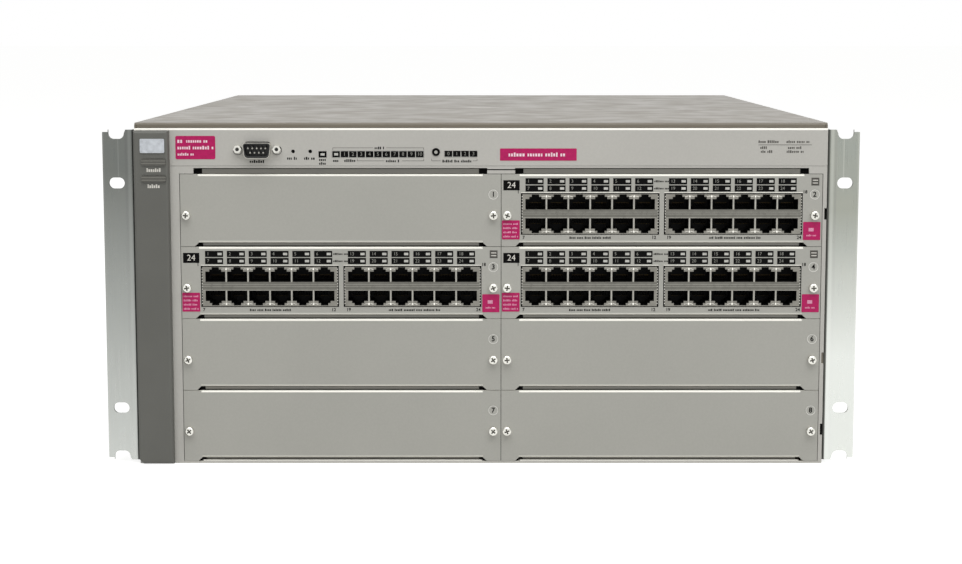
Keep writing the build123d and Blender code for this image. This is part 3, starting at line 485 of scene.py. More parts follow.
def powder_coat(name, colour, gloss=0.42, relief=0.05, wear_and_highlight=0.0, under=0.0, pale_patches=()):
    """Powder coated steel: baked polyester with a fine pebbled skin and a satin gloss. It is
    paler where the sheet turns over its front edge, up or down, which is a painted highlight,
    and in pale patches where they are given."""
    tree, coordinates = new_material(name)
    specks = cloudy(tree, coordinates, 1.4, 1.0, start=0.3, end=0.7)
    speckled = laid_over(tree, tinted(colour, 0.93), [(specks, tinted(colour, 1.04))])
    layers = [(cloudy(tree, coordinates, 70.0, 3.0), tinted(colour, 1.025)), (0.35, speckled)]
    if wear_and_highlight:
        # Painted highlight on the front fold that turns up.
        layers.append((turned_over(tree, coordinates), tinted(colour, wear_and_highlight)))
    if under:
        # Painted reflection of the floor on the front fold that turns down.
        layers.append((turned_over(tree, coordinates, -0.06, -0.25), tinted(colour, under)))
    # Pale, cloudy patches where they are given.
    for x, y, width, depth in pale_patches:
        pale_patch = overlap(
            tree, stripe(tree, coordinates, "X", x, width / 2),
            stripe(tree, coordinates, "Y", y, depth / 2),
            cloudy(tree, coordinates, 14.0, 2.0, 0.35, 0.85, 0.3, 0.6),
        )
        layers.append((pale_patch, linear("d8d5cf")))
    close_material(tree, {
        "Base Color": laid_over(tree, tinted(colour, 0.965), layers),
        "Roughness": cloudy(tree, coordinates, 24.0, 3.0, gloss - 0.05, gloss + 0.07),
        # The real pebbles are 0.3 mm wide and would not show, so they are drawn at 0.9 mm.
        "Normal": pebbled(tree, coordinates, 0.9, 2.0, 0.35, relief),
    })


def bracket_wear(tree, coordinates, colour, painted_floor_reflection):
    """Layers of a rack bracket: pale and dark lines along its bends, painted highlight and
    shade; a worn edge; a foot that gets paler towards the floor, a painted reflection of the
    floor; and a dark root where it meets the chassis, painted shadow in the gap."""
    # Painted highlights and shade beside the bends: pale lines 3.2 and 19.7 mm out from the
    # side, a dark one 5.4 mm out.
    layers = [
        (stripe(tree, coordinates, "X", SIDE + out, half, mirrored=True), tinted(colour, share))
        for out, half, share in ((3.2, 1.3, 1.2), (5.4, 1.0, 0.9), (19.7, 0.5, 1.15))
    ]
    edge = stripe(tree, coordinates, "X", SIDE + 10.4, 0.4, mirrored=True)
    wear_and_highlight = past(tree, coordinates, "Z", WORN_EDGE_LOW, WORN_EDGE_LOW + 3.0)
    layers.append((overlap(tree, edge, wear_and_highlight), tinted(colour, 1.25)))
    # Painted reflection of the floor: paler towards the foot of the bracket.
    share, start, end = painted_floor_reflection
    layers.append((past(tree, coordinates, "Z", start, end, share, 0.0), linear("e8ebe7")))
    # Painted shadow in the gap where the bracket meets the chassis.
    painted_root_shade = stripe(tree, coordinates, "X", SIDE + 0.9, 1.0, mirrored=True)
    return [*layers, (painted_root_shade, tinted(colour, 0.3))]


def zinc_plate(name, colour, grain, painted_floor_reflection=None):
    """Zinc plated steel: a cool, slightly cloudy metal with drawn lines along the sheet. A
    bracket also has a painted reflection of the floor: how pale its foot is, and from where to
    where up the bracket."""
    tree, coordinates = new_material(name)
    drawn = add(tree, "ShaderNodeMapping", None, {
        "Vector": coordinates, "Scale": tuple(1.0 / value for value in grain),
    }).outputs["Vector"]
    lines = add(tree, "ShaderNodeTexNoise", None, {
        "Vector": drawn, "Scale": per_metre(0.9), "Detail": 3.0,
    }).outputs["Fac"]
    share = add(tree, "ShaderNodeMath", {"operation": "MULTIPLY_ADD"}, {
        0: lines, 1: 0.55, 2: cloudy(tree, coordinates, 38.0, 4.0, 0.0, 0.45),
    }).outputs[0]
    cool = (colour[0] * 0.86, colour[1] * 0.9, colour[2] * 0.92, 1.0)
    warm = (min(colour[0] * 1.06, 1), min(colour[1] * 1.05, 1), colour[2], 1.0)
    layers = [(share, warm)]
    if painted_floor_reflection:
        layers += bracket_wear(tree, coordinates, colour, painted_floor_reflection)
    bump = add(tree, "ShaderNodeBump", None, {
        "Height": lines, "Strength": 0.25, "Distance": 0.03 * MM,
    })
    close_material(
        tree,
        {"Base Color": laid_over(tree, cool, layers), "Metallic": 0.75,
         "Normal": bump.outputs["Normal"]},
        {"Roughness": (lines, 0.35, 0.65, 0.27, 0.44)},
    )


def nickel_plate(name, colour, gloss):
    """Nickel, tin or gold plate, or satin aluminium: bright, with faint handling marks."""
    tree, coordinates = new_material(name)
    marks = cloudy(tree, coordinates, 3.0, 4.0)
    close_material(tree, {
        "Base Color": laid_over(tree, tinted(colour, 0.86), [(marks, tinted(colour, 1.04))]),
        "Metallic": 1.0,
        "Roughness": cloudy(tree, coordinates, 3.0, 4.0, gloss - 0.05, gloss + 0.12),
        "Normal": pebbled(tree, coordinates, 0.5, 1.0, 0.15, 0.02),
    })


def light_guide(name, clear, smoked):
    """Moulded acrylic light guides: clear on the panel, smoked on the bezel, with pale lines
    there that are painted highlights along the guides.
    """
    tree, coordinates = new_material(name)
    beyond = past(tree, coordinates, "X", BEZEL_EDGE - 0.5, BEZEL_EDGE + 0.5, 1.0, 0.0)
    flow = cloudy(tree, coordinates, 5.0, 2.0)
    # Pale lines on the smoked guides: painted highlights where their edges catch the light.
    dark = laid_over(tree, smoked, [
        (stripe(tree, coordinates, "Z", low + up, 0.45), tinted(smoked, 1.9))
        for low in PIPE_LOWS for up in (0.5, 2.2, 3.9)
    ])
    layers = [(flow, tinted(clear, 1.04)), (beyond, dark)]
    close_material(
        tree,
        {"Base Color": laid_over(tree, tinted(clear, 0.9), layers), "Specular IOR Level": 0.3},
        {"Roughness": (flow, 0.35, 0.65, 0.24, 0.36)},
    )


def moulded_plastic(name, colour, gloss):
    """Injection moulded plastic: even colour, with the fine spark texture of its mould."""
    tree, coordinates = new_material(name)
    flow = cloudy(tree, coordinates, 45.0, 2.0)
    spark = add(tree, "ShaderNodeTexVoronoi", None, {
        "Vector": coordinates, "Scale": per_metre(0.8),
    }).outputs["Distance"]
    bump = add(tree, "ShaderNodeBump", None, {
        "Height": spark, "Strength": 0.3, "Distance": 0.06 * MM,
    })
    close_material(tree, {
        "Base Color": laid_over(tree, tinted(colour, 0.95), [(flow, tinted(colour, 1.04))]),
        "Roughness": cloudy(tree, coordinates, 12.0, 3.0, gloss - 0.05, gloss + 0.06),
        "Normal": bump.outputs["Normal"],
    })


def socket_plastic(name, shield, black):
    """Socket block: a tin plated shield over its face, and black nylon inside each mouth."""
    tree, coordinates = new_material(name)
    inside = past(tree, coordinates, "Y", FRONT + 0.3, FRONT + 0.5)
    clouds = cloudy(tree, coordinates, 6.0, 3.0)
    layers = [(clouds, tinted(shield, 1.05)), (inside, black)]
    close_material(
        tree,
        {"Base Color": laid_over(tree, tinted(shield, 0.85), layers),
         "Normal": pebbled(tree, coordinates, 1.2, 2.0, 0.2, 0.03),
         "Specular IOR Level": 0.15},
        {"Metallic": (inside, 0.0, 1.0, 0.7, 0.0), "Roughness": (inside, 0.0, 1.0, 0.38, 0.55)},
    )


def printed_ink(name, colour, gloss=0.5):
    """Screen printed ink, matt rubber, or flat black for painted shadow: flat, and a little
    uneven where it was laid.
    """
    tree, coordinates = new_material(name)
    cover = cloudy(tree, coordinates, 0.8, 2.0)
    close_material(
        tree,
        {"Base Color": laid_over(tree, tinted(colour, 0.88), [(cover, tinted(colour, 1.15))]),
         "Specular IOR Level": 0.05},
        {"Roughness": (cover, 0.35, 0.65, gloss, gloss + 0.1)},
    )


def vinyl_label(name, colour):
    """Printed vinyl label: strong colour under a clear gloss film, with faint mottling."""
    tree, coordinates = new_material(name)
    mottle = cloudy(tree, coordinates, 2.2, 4.0)
    close_material(
        tree,
        {"Base Color": laid_over(tree, tinted(colour, 0.9), [(mottle, tinted(colour, 1.08))]),
         "Coat Weight": 0.12, "Coat Roughness": 0.12, "Specular IOR Level": 0.2,
         "Normal": pebbled(tree, coordinates, 9.0, 2.0, 0.3, 0.05)},
        {"Roughness": (mottle, 0.35, 0.65, 0.32, 0.44)},
    )


def solder_mask(name, top):
    """Circuit board: green lacquer over copper lines, with dark parts above its face."""
    mask, part = linear("0f4a2a"), linear("1b1b1d")
    tree, coordinates = new_material(name)
    above = past(tree, coordinates, "Z", top + 0.05, top + 0.15)
    lines = add(tree, "ShaderNodeTexBrick", {"offset": 0.37}, {
        "Vector": coordinates, "Scale": per_metre(3.0), "Mortar Size": 0.06,
        "Color1": tinted(mask, 0.9), "Color2": tinted(mask, 1.1), "Mortar": tinted(mask, 2.0),
    }).outputs["Color"]
    close_material(
        tree, {"Base Color": laid_over(tree, lines, [(above, part)])},
        {"Roughness": (above, 0.0, 1.0, 0.3, 0.5), "Metallic": (above, 0.0, 1.0, 0.0, 0.35)},
    )


def board_top(node):
    """Height of the top face of a circuit board, below the parts on it, in millimetres."""
    start = STANDOFF if node == "management_board" else 0.0
    return span(node)[0].z + start + BOARD_THICKNESS


def make_finishes():
    """Makes all finishes of the switch, named for their material and how it was made, and for
    the light or shade painted into some of them.
    """
    colours = bpy.context.scene.switch_colours
    # The panel and the plates get a painted highlight on their front folds.
    powder_coat("powder_coated_steel_panel", tuple(colours.panel), wear_and_highlight=1.9)
    powder_coat("powder_coated_steel_plate", tuple(colours.plate), wear_and_highlight=2.2, under=2.0)
    powder_coat("powder_coated_steel_case", tuple(colours.cover), 0.34, 0.07)
    powder_coat("powder_coated_steel_cover", tuple(colours.cover), 0.34, 0.07, pale_patches=PALE_PATCHES)
    moulded_plastic("moulded_abs_bezel", tuple(colours.bezel), 0.46)
    # One zinc in a shaded copy for the left bracket and a lit copy for the right; the last
    # numbers are each one's painted floor reflection.
    zinc_plate("zinc_plated_steel_left_shaded", tuple(colours.left_ear), ALONG_Z, (0.6, -10.0, 190.0))
    zinc_plate("zinc_plated_steel_right_lit", tuple(colours.right_ear), ALONG_Z,
               (0.72, 70.0, 165.0))
    printed_ink("screen_printed_black_ink", tuple(colours.ink))
    vinyl_label("printed_vinyl_label", tuple(colours.label))
    light_guide("moulded_acrylic_light_guide", linear("c2c1bb"), linear("55544f"))
    socket_plastic("socket_block_nylon_and_tin", linear("84827b"), linear("0b0b0b"))
    for make, name, hex_colour, way in (
        (zinc_plate, "zinc_plated_steel_sheet", "8c8f8b", ALONG_X),
        (zinc_plate, "zinc_plated_steel_cage", "4f504d", ALONG_Y),
        # The shelves' zinc is darker: painted shade in the gaps between the plates.
        (zinc_plate, "zinc_plated_steel_shelf", "6c6a65", ALONG_X),
        # Darker nickel in the screw recesses: painted shade.
        (nickel_plate, "nickel_plated_recess", "63615b", 0.45),
        (nickel_plate, "nickel_plated_steel", "d8d7d0", 0.2),
        (nickel_plate, "satin_aluminium_badge", "b9bdc2", 0.32),
        (nickel_plate, "tin_plated_shield", "a09e97", 0.3),
        # Spring tin, brighter than the shield: real springs with a painted glint.
        (nickel_plate, "tin_plated_spring", "e6e4dc", 0.2),
        # Darker tin for the band between the rows of sockets: painted shade.
        (nickel_plate, "tin_plated_band", "696862", 0.42),
        (nickel_plate, "gold_plated_contact", "3d3119", 0.3),
        (nickel_plate, "nickel_plated_shell", "bdbab2", 0.24),
        # Black nylon inside the console shell, and painted shade in and round the jackscrew
        # bores.
        (moulded_plastic, "moulded_black_gasket", "0e0e0e", 0.6),
        (moulded_plastic, "moulded_abs_disc", "a9a8a1", 0.5),
        # Pale ring round each slot window: painted highlight.
        (moulded_plastic, "moulded_abs_ring", "d5d4ce", 0.4),
        (moulded_plastic, "moulded_nylon_guide", "cfccba", 0.5),
        (moulded_plastic, "moulded_black_nylon", "0c0c0c", 0.52),
        # Flat black for painted shadow in gaps, round the socket blocks and the plates.
        (printed_ink, "black_cellular_rubber", "0a0a0a", 0.9),
        (printed_ink, "moulded_black_silicone", "0c0c0c", 0.7),
        (printed_ink, "screen_printed_grey_ink", "55534f", 0.5),
        (printed_ink, "screen_printed_pale_grey_ink", "8c8c86", 0.5),
        (printed_ink, "screen_printed_white_ink", "d6d3cb", 0.5),
        (printed_ink, "white_ink_on_vinyl", "ecd3dd", 0.5),
        (printed_ink, "pink_ink_on_vinyl", "dc9cb6", 0.5),
    ):
        make(name, linear(hex_colour), way)
    for node in BOARDS:
        solder_mask(f"solder_mask_{node}", board_top(node))
    # The backplane stands upright: its parts are not over it, so all of it is lacquer.
    solder_mask("solder_mask_backplane", 900.0)


DRESSED = {
    "powder_coated_steel_panel": ("bottom_pan", "front_frame", "control_panel"),
    "powder_coated_steel_case": ("left_side_panel", "right_side_panel", "rear_panel"),
    "powder_coated_steel_cover": ("top_cover",),
    "powder_coated_steel_plate": tuple(plate_node(slot) for slot in SLOT_NUMBERS),
    "moulded_abs_bezel": ("side_bezel",),
    "satin_aluminium_badge": ("bezel_badge",),
    "moulded_acrylic_light_guide": (
        "front_lights", *(f"module_{slot}_lights" for slot in MODULES),
    ),
    "zinc_plated_steel_left_shaded": ("rack_bracket_left",),
    "zinc_plated_steel_right_lit": ("rack_bracket_right",),
    "zinc_plated_steel_cage": ("cage_walls",),
    "zinc_plated_steel_shelf": ("slot_shelves",),
    "zinc_plated_steel_sheet": ("psu_bay", *(f"psu_{supply}_case" for supply in SUPPLIES)),
    "nickel_plated_steel": (
        "chassis_screws", "console_jackscrews",
        *(f"{slot_body(slot)}_screws" for slot in SLOT_NUMBERS),
        *(f"psu_{supply}_handle" for supply in SUPPLIES),
    ),
    "moulded_nylon_guide": ("card_guides",),
    "moulded_black_nylon": (
        "console_connector", "fan_frames", *(f"fan_rotor_{fan}" for fan in FANS),
        *(f"psu_{supply}_inlet" for supply in SUPPLIES),
    ),
    "moulded_black_silicone": ("reset_button", "clear_button", "mode_button"),
    "socket_block_nylon_and_tin": tuple(f"module_{slot}_jacks" for slot in MODULES),
    **{f"solder_mask_{node}": (node,) for node in (*BOARDS, "backplane")},
}


class SWITCH_OT_finishes(bpy.types.Operator):
    """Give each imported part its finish"""

    bl_idname = "switch.finishes"
    bl_label = "Finish the packed parts"

    def execute(self, context):
        make_finishes()
        for word, nodes in DRESSED.items():
            for node in nodes:
                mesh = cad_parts[node].data
                mesh.materials.clear()
                mesh.materials.append(bpy.data.materials[word])
        return {"FINISHED"}


# Modules. Places are in millimetres; those in X and Z start at a faceplate's low left corner.

BLOCK_STARTS = (12.7, 104.3)
BLOCK_WIDTH = 88.0
BLOCK_LOW, BLOCK_HIGH = 7.8, 34.1
FIRST_SOCKET = 2.6
SOCKET_WIDTH = 12.8
BAND_LOW, BAND_HIGH = 18.15, 23.75
BAND_LINES = ((0.2, 0.3), (2.6, 0.16), (3.9, 0.16))
COLUMNS = 6
LIGHT_ROWS = (41.9, 37.3)
LIGHT_SIZE = (2.7, 1.6)
LIGHT_OFFSET = 9.4
OVERPRINT = 0.04
# How far the black frame of painted shadow round a socket block stands proud.
GAP_SHADOW_PROUD = 0.08
END_SPRINGS, END_SPRING_STEP = 13, 1.85
CONTACTS, CONTACT_HALF_LENGTH, CONTACT_SLOPE = 8, 4.2, 22
LEFT_LABEL = (0.3, 11.7, 4.5, 16.8)
RIGHT_LABEL = (193.1, 204.2, 4.1, 15.8)
NUMBER_BOX = (1.2, 11.6, 36.1, 42.6)
GREY_BOX = (197.9, 202.9, 39.2, 44.2)
GREY_BOX_LINES = ((198.7, 202.1, 40.5, 41.1), (198.7, 202.1, 42.3, 42.9))
LOWER_BARS = ((43.6, 70.6, 1), (133.0, 166.6, 2))
CORNER_NUMBERS = (
    (1, 10.7, 35.0), (7, 14.2, 5.7), (12, 97.6, 5.7),
    (18, 194.0, 35.0), (19, 107.2, 5.7), (24, 190.6, 5.7),
)
SOCKET_PIECES = {
    "ribs": "tin_plated_shield", "springs": "tin_plated_spring", "band": "tin_plated_band",
    "gasket": "black_cellular_rubber", "contacts": "gold_plated_contact",
}


def on_plate(slot, x0, x1, z0, z1):
    """A rectangle that is given from the low left corner of a slot's plate."""
    low = PLATE[slot][0]
    return low.x + x0, low.x + x1, low.z + z0, low.z + z1


def socket_places(slot):
    """Left edge in X of each column of sockets."""
    pitch = bpy.context.scene.switch_sizes.port_pitch
    return [
        PLATE[slot][0].x + start + FIRST_SOCKET + k * pitch
        for start in BLOCK_STARTS for k in range(COLUMNS)
    ]


def port_number(column, row):
    """Number of the port in a column of sockets, upper row 0 and lower row 1."""
    share, k = divmod(column, COLUMNS)
    return share * 2 * COLUMNS + row * COLUMNS + k + 1


class SWITCH_OT_module_lights(bpy.types.Operator):
    """Print the black boxes of the port lights, with their numbers"""

    bl_idname = "switch.module_lights"
    bl_label = "Port light boxes"

    def execute(self, context):
        sizes = context.scene.switch_sizes
        tall = sizes.box_height / 2
        light_wide, light_tall = LIGHT_SIZE[0] / 2, LIGHT_SIZE[1] / 2
        for slot in MODULES:
            boxes, digits = bmesh.new(), bmesh.new()
            for column, x in enumerate(socket_places(slot)):
                light = x + LIGHT_OFFSET
                for row, up in enumerate(LIGHT_ROWS):
                    z = PLATE[slot][0].z + up
                    open_plate(
                        boxes, (x, x + sizes.box_width, z - tall, z + tall),
                        (light - light_wide, light + light_wide, z - light_tall,
                         z + light_tall), sizes.ink, upright=True,
                    )
                    write_number(
                        digits, port_number(column, row), x + 1.2, z, 2.1,
                        sizes.ink + OVERPRINT, sizes.ink, "LEFT",
                    )
            body = slot_body(slot)
            finish_piece(boxes, f"light_boxes_{slot}", "screen_printed_black_ink", body)
            finish_piece(digits, f"light_numbers_{slot}", "screen_printed_pale_grey_ink", body)
        return {"FINISHED"}


class SWITCH_OT_sockets(bpy.types.Operator):
    """Add the shields, the black frames of painted shadow round the blocks, the spring fingers
    and the contacts of the network sockets
    """

    bl_idname = "switch.sockets"
    bl_label = "Socket shields and contacts"

    def execute(self, context):
        sizes = context.scene.switch_sizes
        for slot in MODULES:
            low = PLATE[slot][0]
            meshes = {word: bmesh.new() for word in SOCKET_PIECES}
            for start in BLOCK_STARTS:
                x0 = low.x + start
                self.band(meshes, x0, low.z)
                self.gasket(meshes["gasket"], meshes["springs"], x0, low.z)
                for k in range(COLUMNS - 1):
                    x = x0 + FIRST_SOCKET + SOCKET_WIDTH + 0.6 + k * sizes.port_pitch
                    self.divider(meshes["ribs"], meshes["springs"], x, low.z)
            for x in socket_places(slot):
                for up in (True, False):
                    self.contact_row(meshes["contacts"], x + SOCKET_WIDTH / 2, low.z, up, sizes)
            for word, bm in meshes.items():
                finish_piece(bm, f"socket_{word}_{slot}", SOCKET_PIECES[word], slot_body(slot))
        return {"FINISHED"}

    def band(self, meshes, x0, base):
        """The shield between the two rows of sockets, with its drawn lines."""
        # The band's darker tin is painted shade between the rows.
        panel_plate(
            meshes["band"], x0 + 0.4, x0 + BLOCK_WIDTH - 0.4, base + BAND_LOW + 0.1,
            base + BAND_HIGH - 0.1, 0.12,
        )
        for up, tall in BAND_LINES:
            z = base + BAND_LOW + up
            panel_plate(meshes["ribs"], x0 + 0.5, x0 + BLOCK_WIDTH - 0.5, z, z + tall, 0.2)

    def gasket(self, bm, springs, x0, base):
        """The black frame round a block, painted shadow in the gap round it, with small spring
        tips along its two ends.
        """
        left, right = x0 - 0.25, x0 + BLOCK_WIDTH + 0.25
        low, high = base + BLOCK_LOW - 0.2, base + BLOCK_HIGH + 0.3
        open_plate(
            bm, (left, right, low, high), (left + 0.95, right - 0.95, low + 0.4, high - 0.75),
            GAP_SHADOW_PROUD,
        )
        panel_plate(springs, left, right, high, high + 0.35, 0.1)
        for k in range(END_SPRINGS):
            z = low + 2.0 + k * END_SPRING_STEP
            for x in (left + 0.55, right - 0.95):
                panel_plate(springs, x, x + 0.4, z, z + 0.5, 0.14)

    def divider(self, bm, springs, x, base):
        """The rolled shield edge between two sockets, and the springs at its two ends."""
        for z0, z1, end in (
            (BLOCK_LOW + 0.9, BAND_LOW, BLOCK_LOW + 1.7),
            (BAND_HIGH, BLOCK_HIGH - 0.9, BLOCK_HIGH - 1.9),
        ):
            block(
                bm, (x - 0.5, FRONT - 0.3, base + z0), (x + 0.5, FRONT + 0.4, base + z1), 0.22
            )
            # A spring at each end of the divider, painted brighter for its glint.
            block(
                springs, (x - 0.6, FRONT - 0.6, base + end - 0.6),
                (x + 0.6, FRONT - 0.1, base + end + 0.6), 0.24,
            )
            for side in (-1, 1):
                verts = block(bm, (-1.2, -0.1, -0.3), (1.2, 0.1, 0.3), 0.07)
                for angle, axis in ((-24, "X"), (side * 14, "Y")):
                    turn = Matrix.Rotation(math.radians(angle), 3, axis)
                    bmesh.ops.rotate(bm, cent=(0, 0, 0), matrix=turn, verts=verts)
                place = Vector((x + side * 1.9, FRONT - 0.22, base + end)) * MM
                bmesh.ops.translate(bm, vec=place, verts=verts)

    def contact_row(self, bm, x, base, up, sizes):
        """Eight sloping contact wires on the wall across from the latch notch."""
        wall = BAND_HIGH if up else BAND_LOW
        way = 1 if up else -1
        half = sizes.contact / 2
        turn = Matrix.Rotation(math.radians(-way * CONTACT_SLOPE), 3, "X")
        for k in range(CONTACTS):
            u = x + (k - (CONTACTS - 1) / 2) * sizes.contact_pitch
            verts = block(
                bm, (-half, -CONTACT_HALF_LENGTH, -0.12), (half, CONTACT_HALF_LENGTH, 0.12)
            )
            bmesh.ops.rotate(bm, cent=(0, 0, 0), matrix=turn, verts=verts)
            place = Vector((u, FRONT + 8.4, base + wall + way * 2.4)) * MM
            bmesh.ops.translate(bm, vec=place, verts=verts)


class SWITCH_OT_module_marks(bpy.types.Operator):
    """Add the labels, corner numbers and small prints of the modules"""

    bl_idname = "switch.module_marks"
    bl_label = "Module labels and prints"

    def execute(self, context):
        sizes = context.scene.switch_sizes
        top, second = sizes.label + OVERPRINT, sizes.ink + OVERPRINT
        for slot in MODULES:
            low = PLATE[slot][0]
            labels, bars = bmesh.new(), bmesh.new()
            ink, white, grey = bmesh.new(), bmesh.new(), bmesh.new()
            left, right = on_plate(slot, *LEFT_LABEL), on_plate(slot, *RIGHT_LABEL)
            for label in (left, right):
                panel_plate(labels, *label, sizes.label, 0.5)
            for k in range(4):
                write_bars(
                    bars, left[0] + 0.9, left[1] - 0.9, left[3] - 2.3 - 2.7 * k, 1.25, top,
                    10 + k, sizes.label,
                )
            middle = (right[0] + right[1]) / 2
            panel_plate(bars, middle - 2.0, middle + 1.2, right[2] + 5.6, right[2] + 7.8, top,
                        back=sizes.label)
            write_bars(bars, right[0] + 2.2, right[1] - 2.2, right[2] + 3.0, 1.2, top, 20,
                       sizes.label)
            panel_plate(ink, *on_plate(slot, *NUMBER_BOX), sizes.ink)
            write_number(white, 24, low.x + 6.4, low.z + 39.3, 4.0, second, sizes.ink)
            panel_plate(grey, *on_plate(slot, *GREY_BOX), sizes.ink)
            for line in GREY_BOX_LINES:
                panel_plate(white, *on_plate(slot, *line), second, back=sizes.ink)
            for text, x, z in CORNER_NUMBERS:
                write_number(ink, text, low.x + x, low.z + z, 2.1, sizes.ink, weight=0.03)
            for start, end, seed in LOWER_BARS:
                write_bars(ink, low.x + start, low.x + end, low.z + 5.6, 1.5, sizes.ink, seed)
            for up in LIGHT_ROWS:
                write_bars(ink, low.x + 97.6, low.x + 107.2, low.z + up, 1.3, sizes.ink, 5)
            for bm, name, word in (
                (labels, "vinyl_labels", "printed_vinyl_label"),
                (bars, "label_bars", "pink_ink_on_vinyl"),
                (ink, "black_prints", "screen_printed_black_ink"),
                (grey, "grey_prints", "screen_printed_grey_ink"),
                (white, "white_prints", "screen_printed_white_ink"),
            ):
                finish_piece(bm, f"{name}_{slot}", word, slot_body(slot))
        return {"FINISHED"}


# Slots

# From a plate's right edge and its low edge to the middle of its number disc.
DISC_INSET, DISC_UP = 4.8, 33.4
# From a plate's end to the black pad of painted shadow in the gap over it, to the pad's thin
# tail, and to the shelf edge that shows between the pads.
PAD_START, PAD_END, SHELF_START = 6.0, 11.3, 14.0
TOP_ROW, NOTCHED, BOTTOM_ROW = ("a", "b"), ("b", "d", "h"), ("g", "h")
BRACKET_SCREW = 2.9


class SWITCH_OT_slot_discs(bpy.types.Operator):
    """Add the numbered disc behind the round window of each slot, and a pale ring at the
    window's edge, a painted highlight
    """

    bl_idname = "switch.slot_discs"
    bl_label = "Slot number discs"

    def execute(self, context):
        for slot, number in SLOT_NUMBERS.items():
            low, high = PLATE[slot]
            x, z = high.x - DISC_INSET, low.z + DISC_UP
            face, edge, digits = bmesh.new(), bmesh.new(), bmesh.new()
            disc(face, (x, FRONT + 0.1, z), 3.2, 1.3, 40)
            # Pale ring at the edge of the window: painted highlight.
            ring(edge, (x, FRONT - 0.02, z), 2.75, 3.2, 0.2)
            write_number(digits, number, x, z, 3.3, 0.04, -0.12, weight=0.025)
            for bm, name, word in (
                (face, "slot_disc", "moulded_abs_disc"),
                (edge, "slot_ring_painted_highlight", "moulded_abs_ring"),
                (digits, "slot_number", "screen_printed_black_ink"),
            ):
                finish_piece(bm, f"{name}_{slot}", word, slot_body(slot))
        return {"FINISHED"}


class SWITCH_OT_shelf_lips(bpy.types.Operator):
    """Add the front edges of the shelves, the black pads of painted shadow in the gaps round
    the plates and in the notches, the painted shadow line over the middle tab and the pale
    bottom edge"""

    bl_idname = "switch.shelf_lips"
    bl_label = "Shelf edges and pads"

    def execute(self, context):
        lips, gap_shadows, edge = bmesh.new(), bmesh.new(), bmesh.new()
        for slot, (low, high) in PLATE.items():
            start, rise = (0.15, 3.6) if slot in TOP_ROW else (0.75, 2.5)
            inner = (low.x + SHELF_START, high.x - SHELF_START)
            block(lips, (inner[0], FRONT + 1.6, high.z + start),
                  (inner[1], FRONT + 2.9, high.z + rise), 0.25)
            for x0, x1, tail in (
                (low.x + PAD_START, low.x + PAD_END, inner[0]),
                (high.x - PAD_END, high.x - PAD_START, inner[1]),
            ):
                for z in (low.z, high.z):
                    # Painted shadow in the gaps over and under the plate's ends.
                    block(gap_shadows, (x0, FRONT + 1.5, z - 0.9), (x1, FRONT + 2.7, z + 3.4))
                thin = (x1, tail) if tail > x1 else (tail, x0)
                block(gap_shadows, (thin[0], FRONT + 1.7, high.z + 0.15),
                      (thin[1], FRONT + 2.8, high.z + rise))
            if slot in NOTCHED:
                # Painted shadow in the notch at the right edge.
                block(gap_shadows, (SIDE - 1.3, FRONT + 0.5, low.z + 17.3),
                      (SIDE - 0.05, FRONT + 1.3, low.z + 24.5))
            if slot in BOTTOM_ROW:
                block(edge, (low.x + 12.0, FRONT + 0.25, 0.1),
                      (high.x - 12.0, FRONT + 1.6, low.z + 0.6), 0.3)
                block(lips, (inner[0], FRONT + 1.6, low.z + 1.1),
                      (inner[1], FRONT + 2.9, low.z + 2.1), 0.25)
        left, right = PLATE["a"][1], PLATE["b"][0]
        # Painted shadow line over the middle tab.
        panel_plate(
            gap_shadows, left.x - PAD_END, right.x + PAD_END, left.z + 2.6, left.z + 3.3, 0.05
        )
        for bm, name, word, slot in (
            (lips, "shelf_lips", "zinc_plated_steel_shelf", "zinc_steel"),
            (gap_shadows, "shelf_gap_shadows", "black_cellular_rubber", "zinc_steel"),
            (edge, "bottom_edge", "powder_coated_steel_panel", "light_paint"),
        ):
            finish_piece(bm, name, word, CHASSIS)
        return {"FINISHED"}


class SWITCH_OT_screws(bpy.types.Operator):
    """Put cross recessed heads in place of the plain screws"""

    bl_idname = "switch.screws"
    bl_label = "Screw heads"

    def execute(self, context):
        for slot in SLOT_NUMBERS:
            node = f"{slot_body(slot)}_screws"
            low, high = span(node)
            radius = (high.z - low.z) / 2
            bm = bmesh.new()
            for x in (low.x + radius, high.x - radius):
                screw_at(bm, (x, high.y, low.z + radius), radius - 0.05,
                         high.y - low.y - 0.5, (0, -1, 0))
            piece = finish_piece(bm, f"captive_screws_{slot}", "nickel_plated_steel",
                                 slot_body(slot), "nickel_plated_recess")
            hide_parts(node)
        low, high = span("chassis_screws")
        height = high.x - SIDE - 2.0
        bm = bmesh.new()
        for y in (low.y + BRACKET_SCREW, high.y - BRACKET_SCREW):
            for z in (low.z + BRACKET_SCREW, high.z - BRACKET_SCREW):
                for way in (-1, 1):
                    seat = (way * (high.x - height), y, z)
                    screw_at(bm, seat, BRACKET_SCREW - 0.05, height - 0.4, (way, 0, 0))
        piece = finish_piece(bm, "bracket_screws", "nickel_plated_steel", CHASSIS,
                             "nickel_plated_recess")
        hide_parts("chassis_screws")
        return {"FINISHED"}


# Control panel, in millimetres

STATUS = {"x": -65.7, "z": 201.0, "cells": 11, "pitch": 5.33, "height": 3.9}
MODE = {"x": -12.8, "z": 201.3, "cells": 4, "pitch": 5.3, "height": 3.8}
TEST = {"x": -101.0, "z": 200.9, "width": 4.9, "height": 3.8}
FRAME_WIDTH = 1.15
LINE_HALF = 0.12
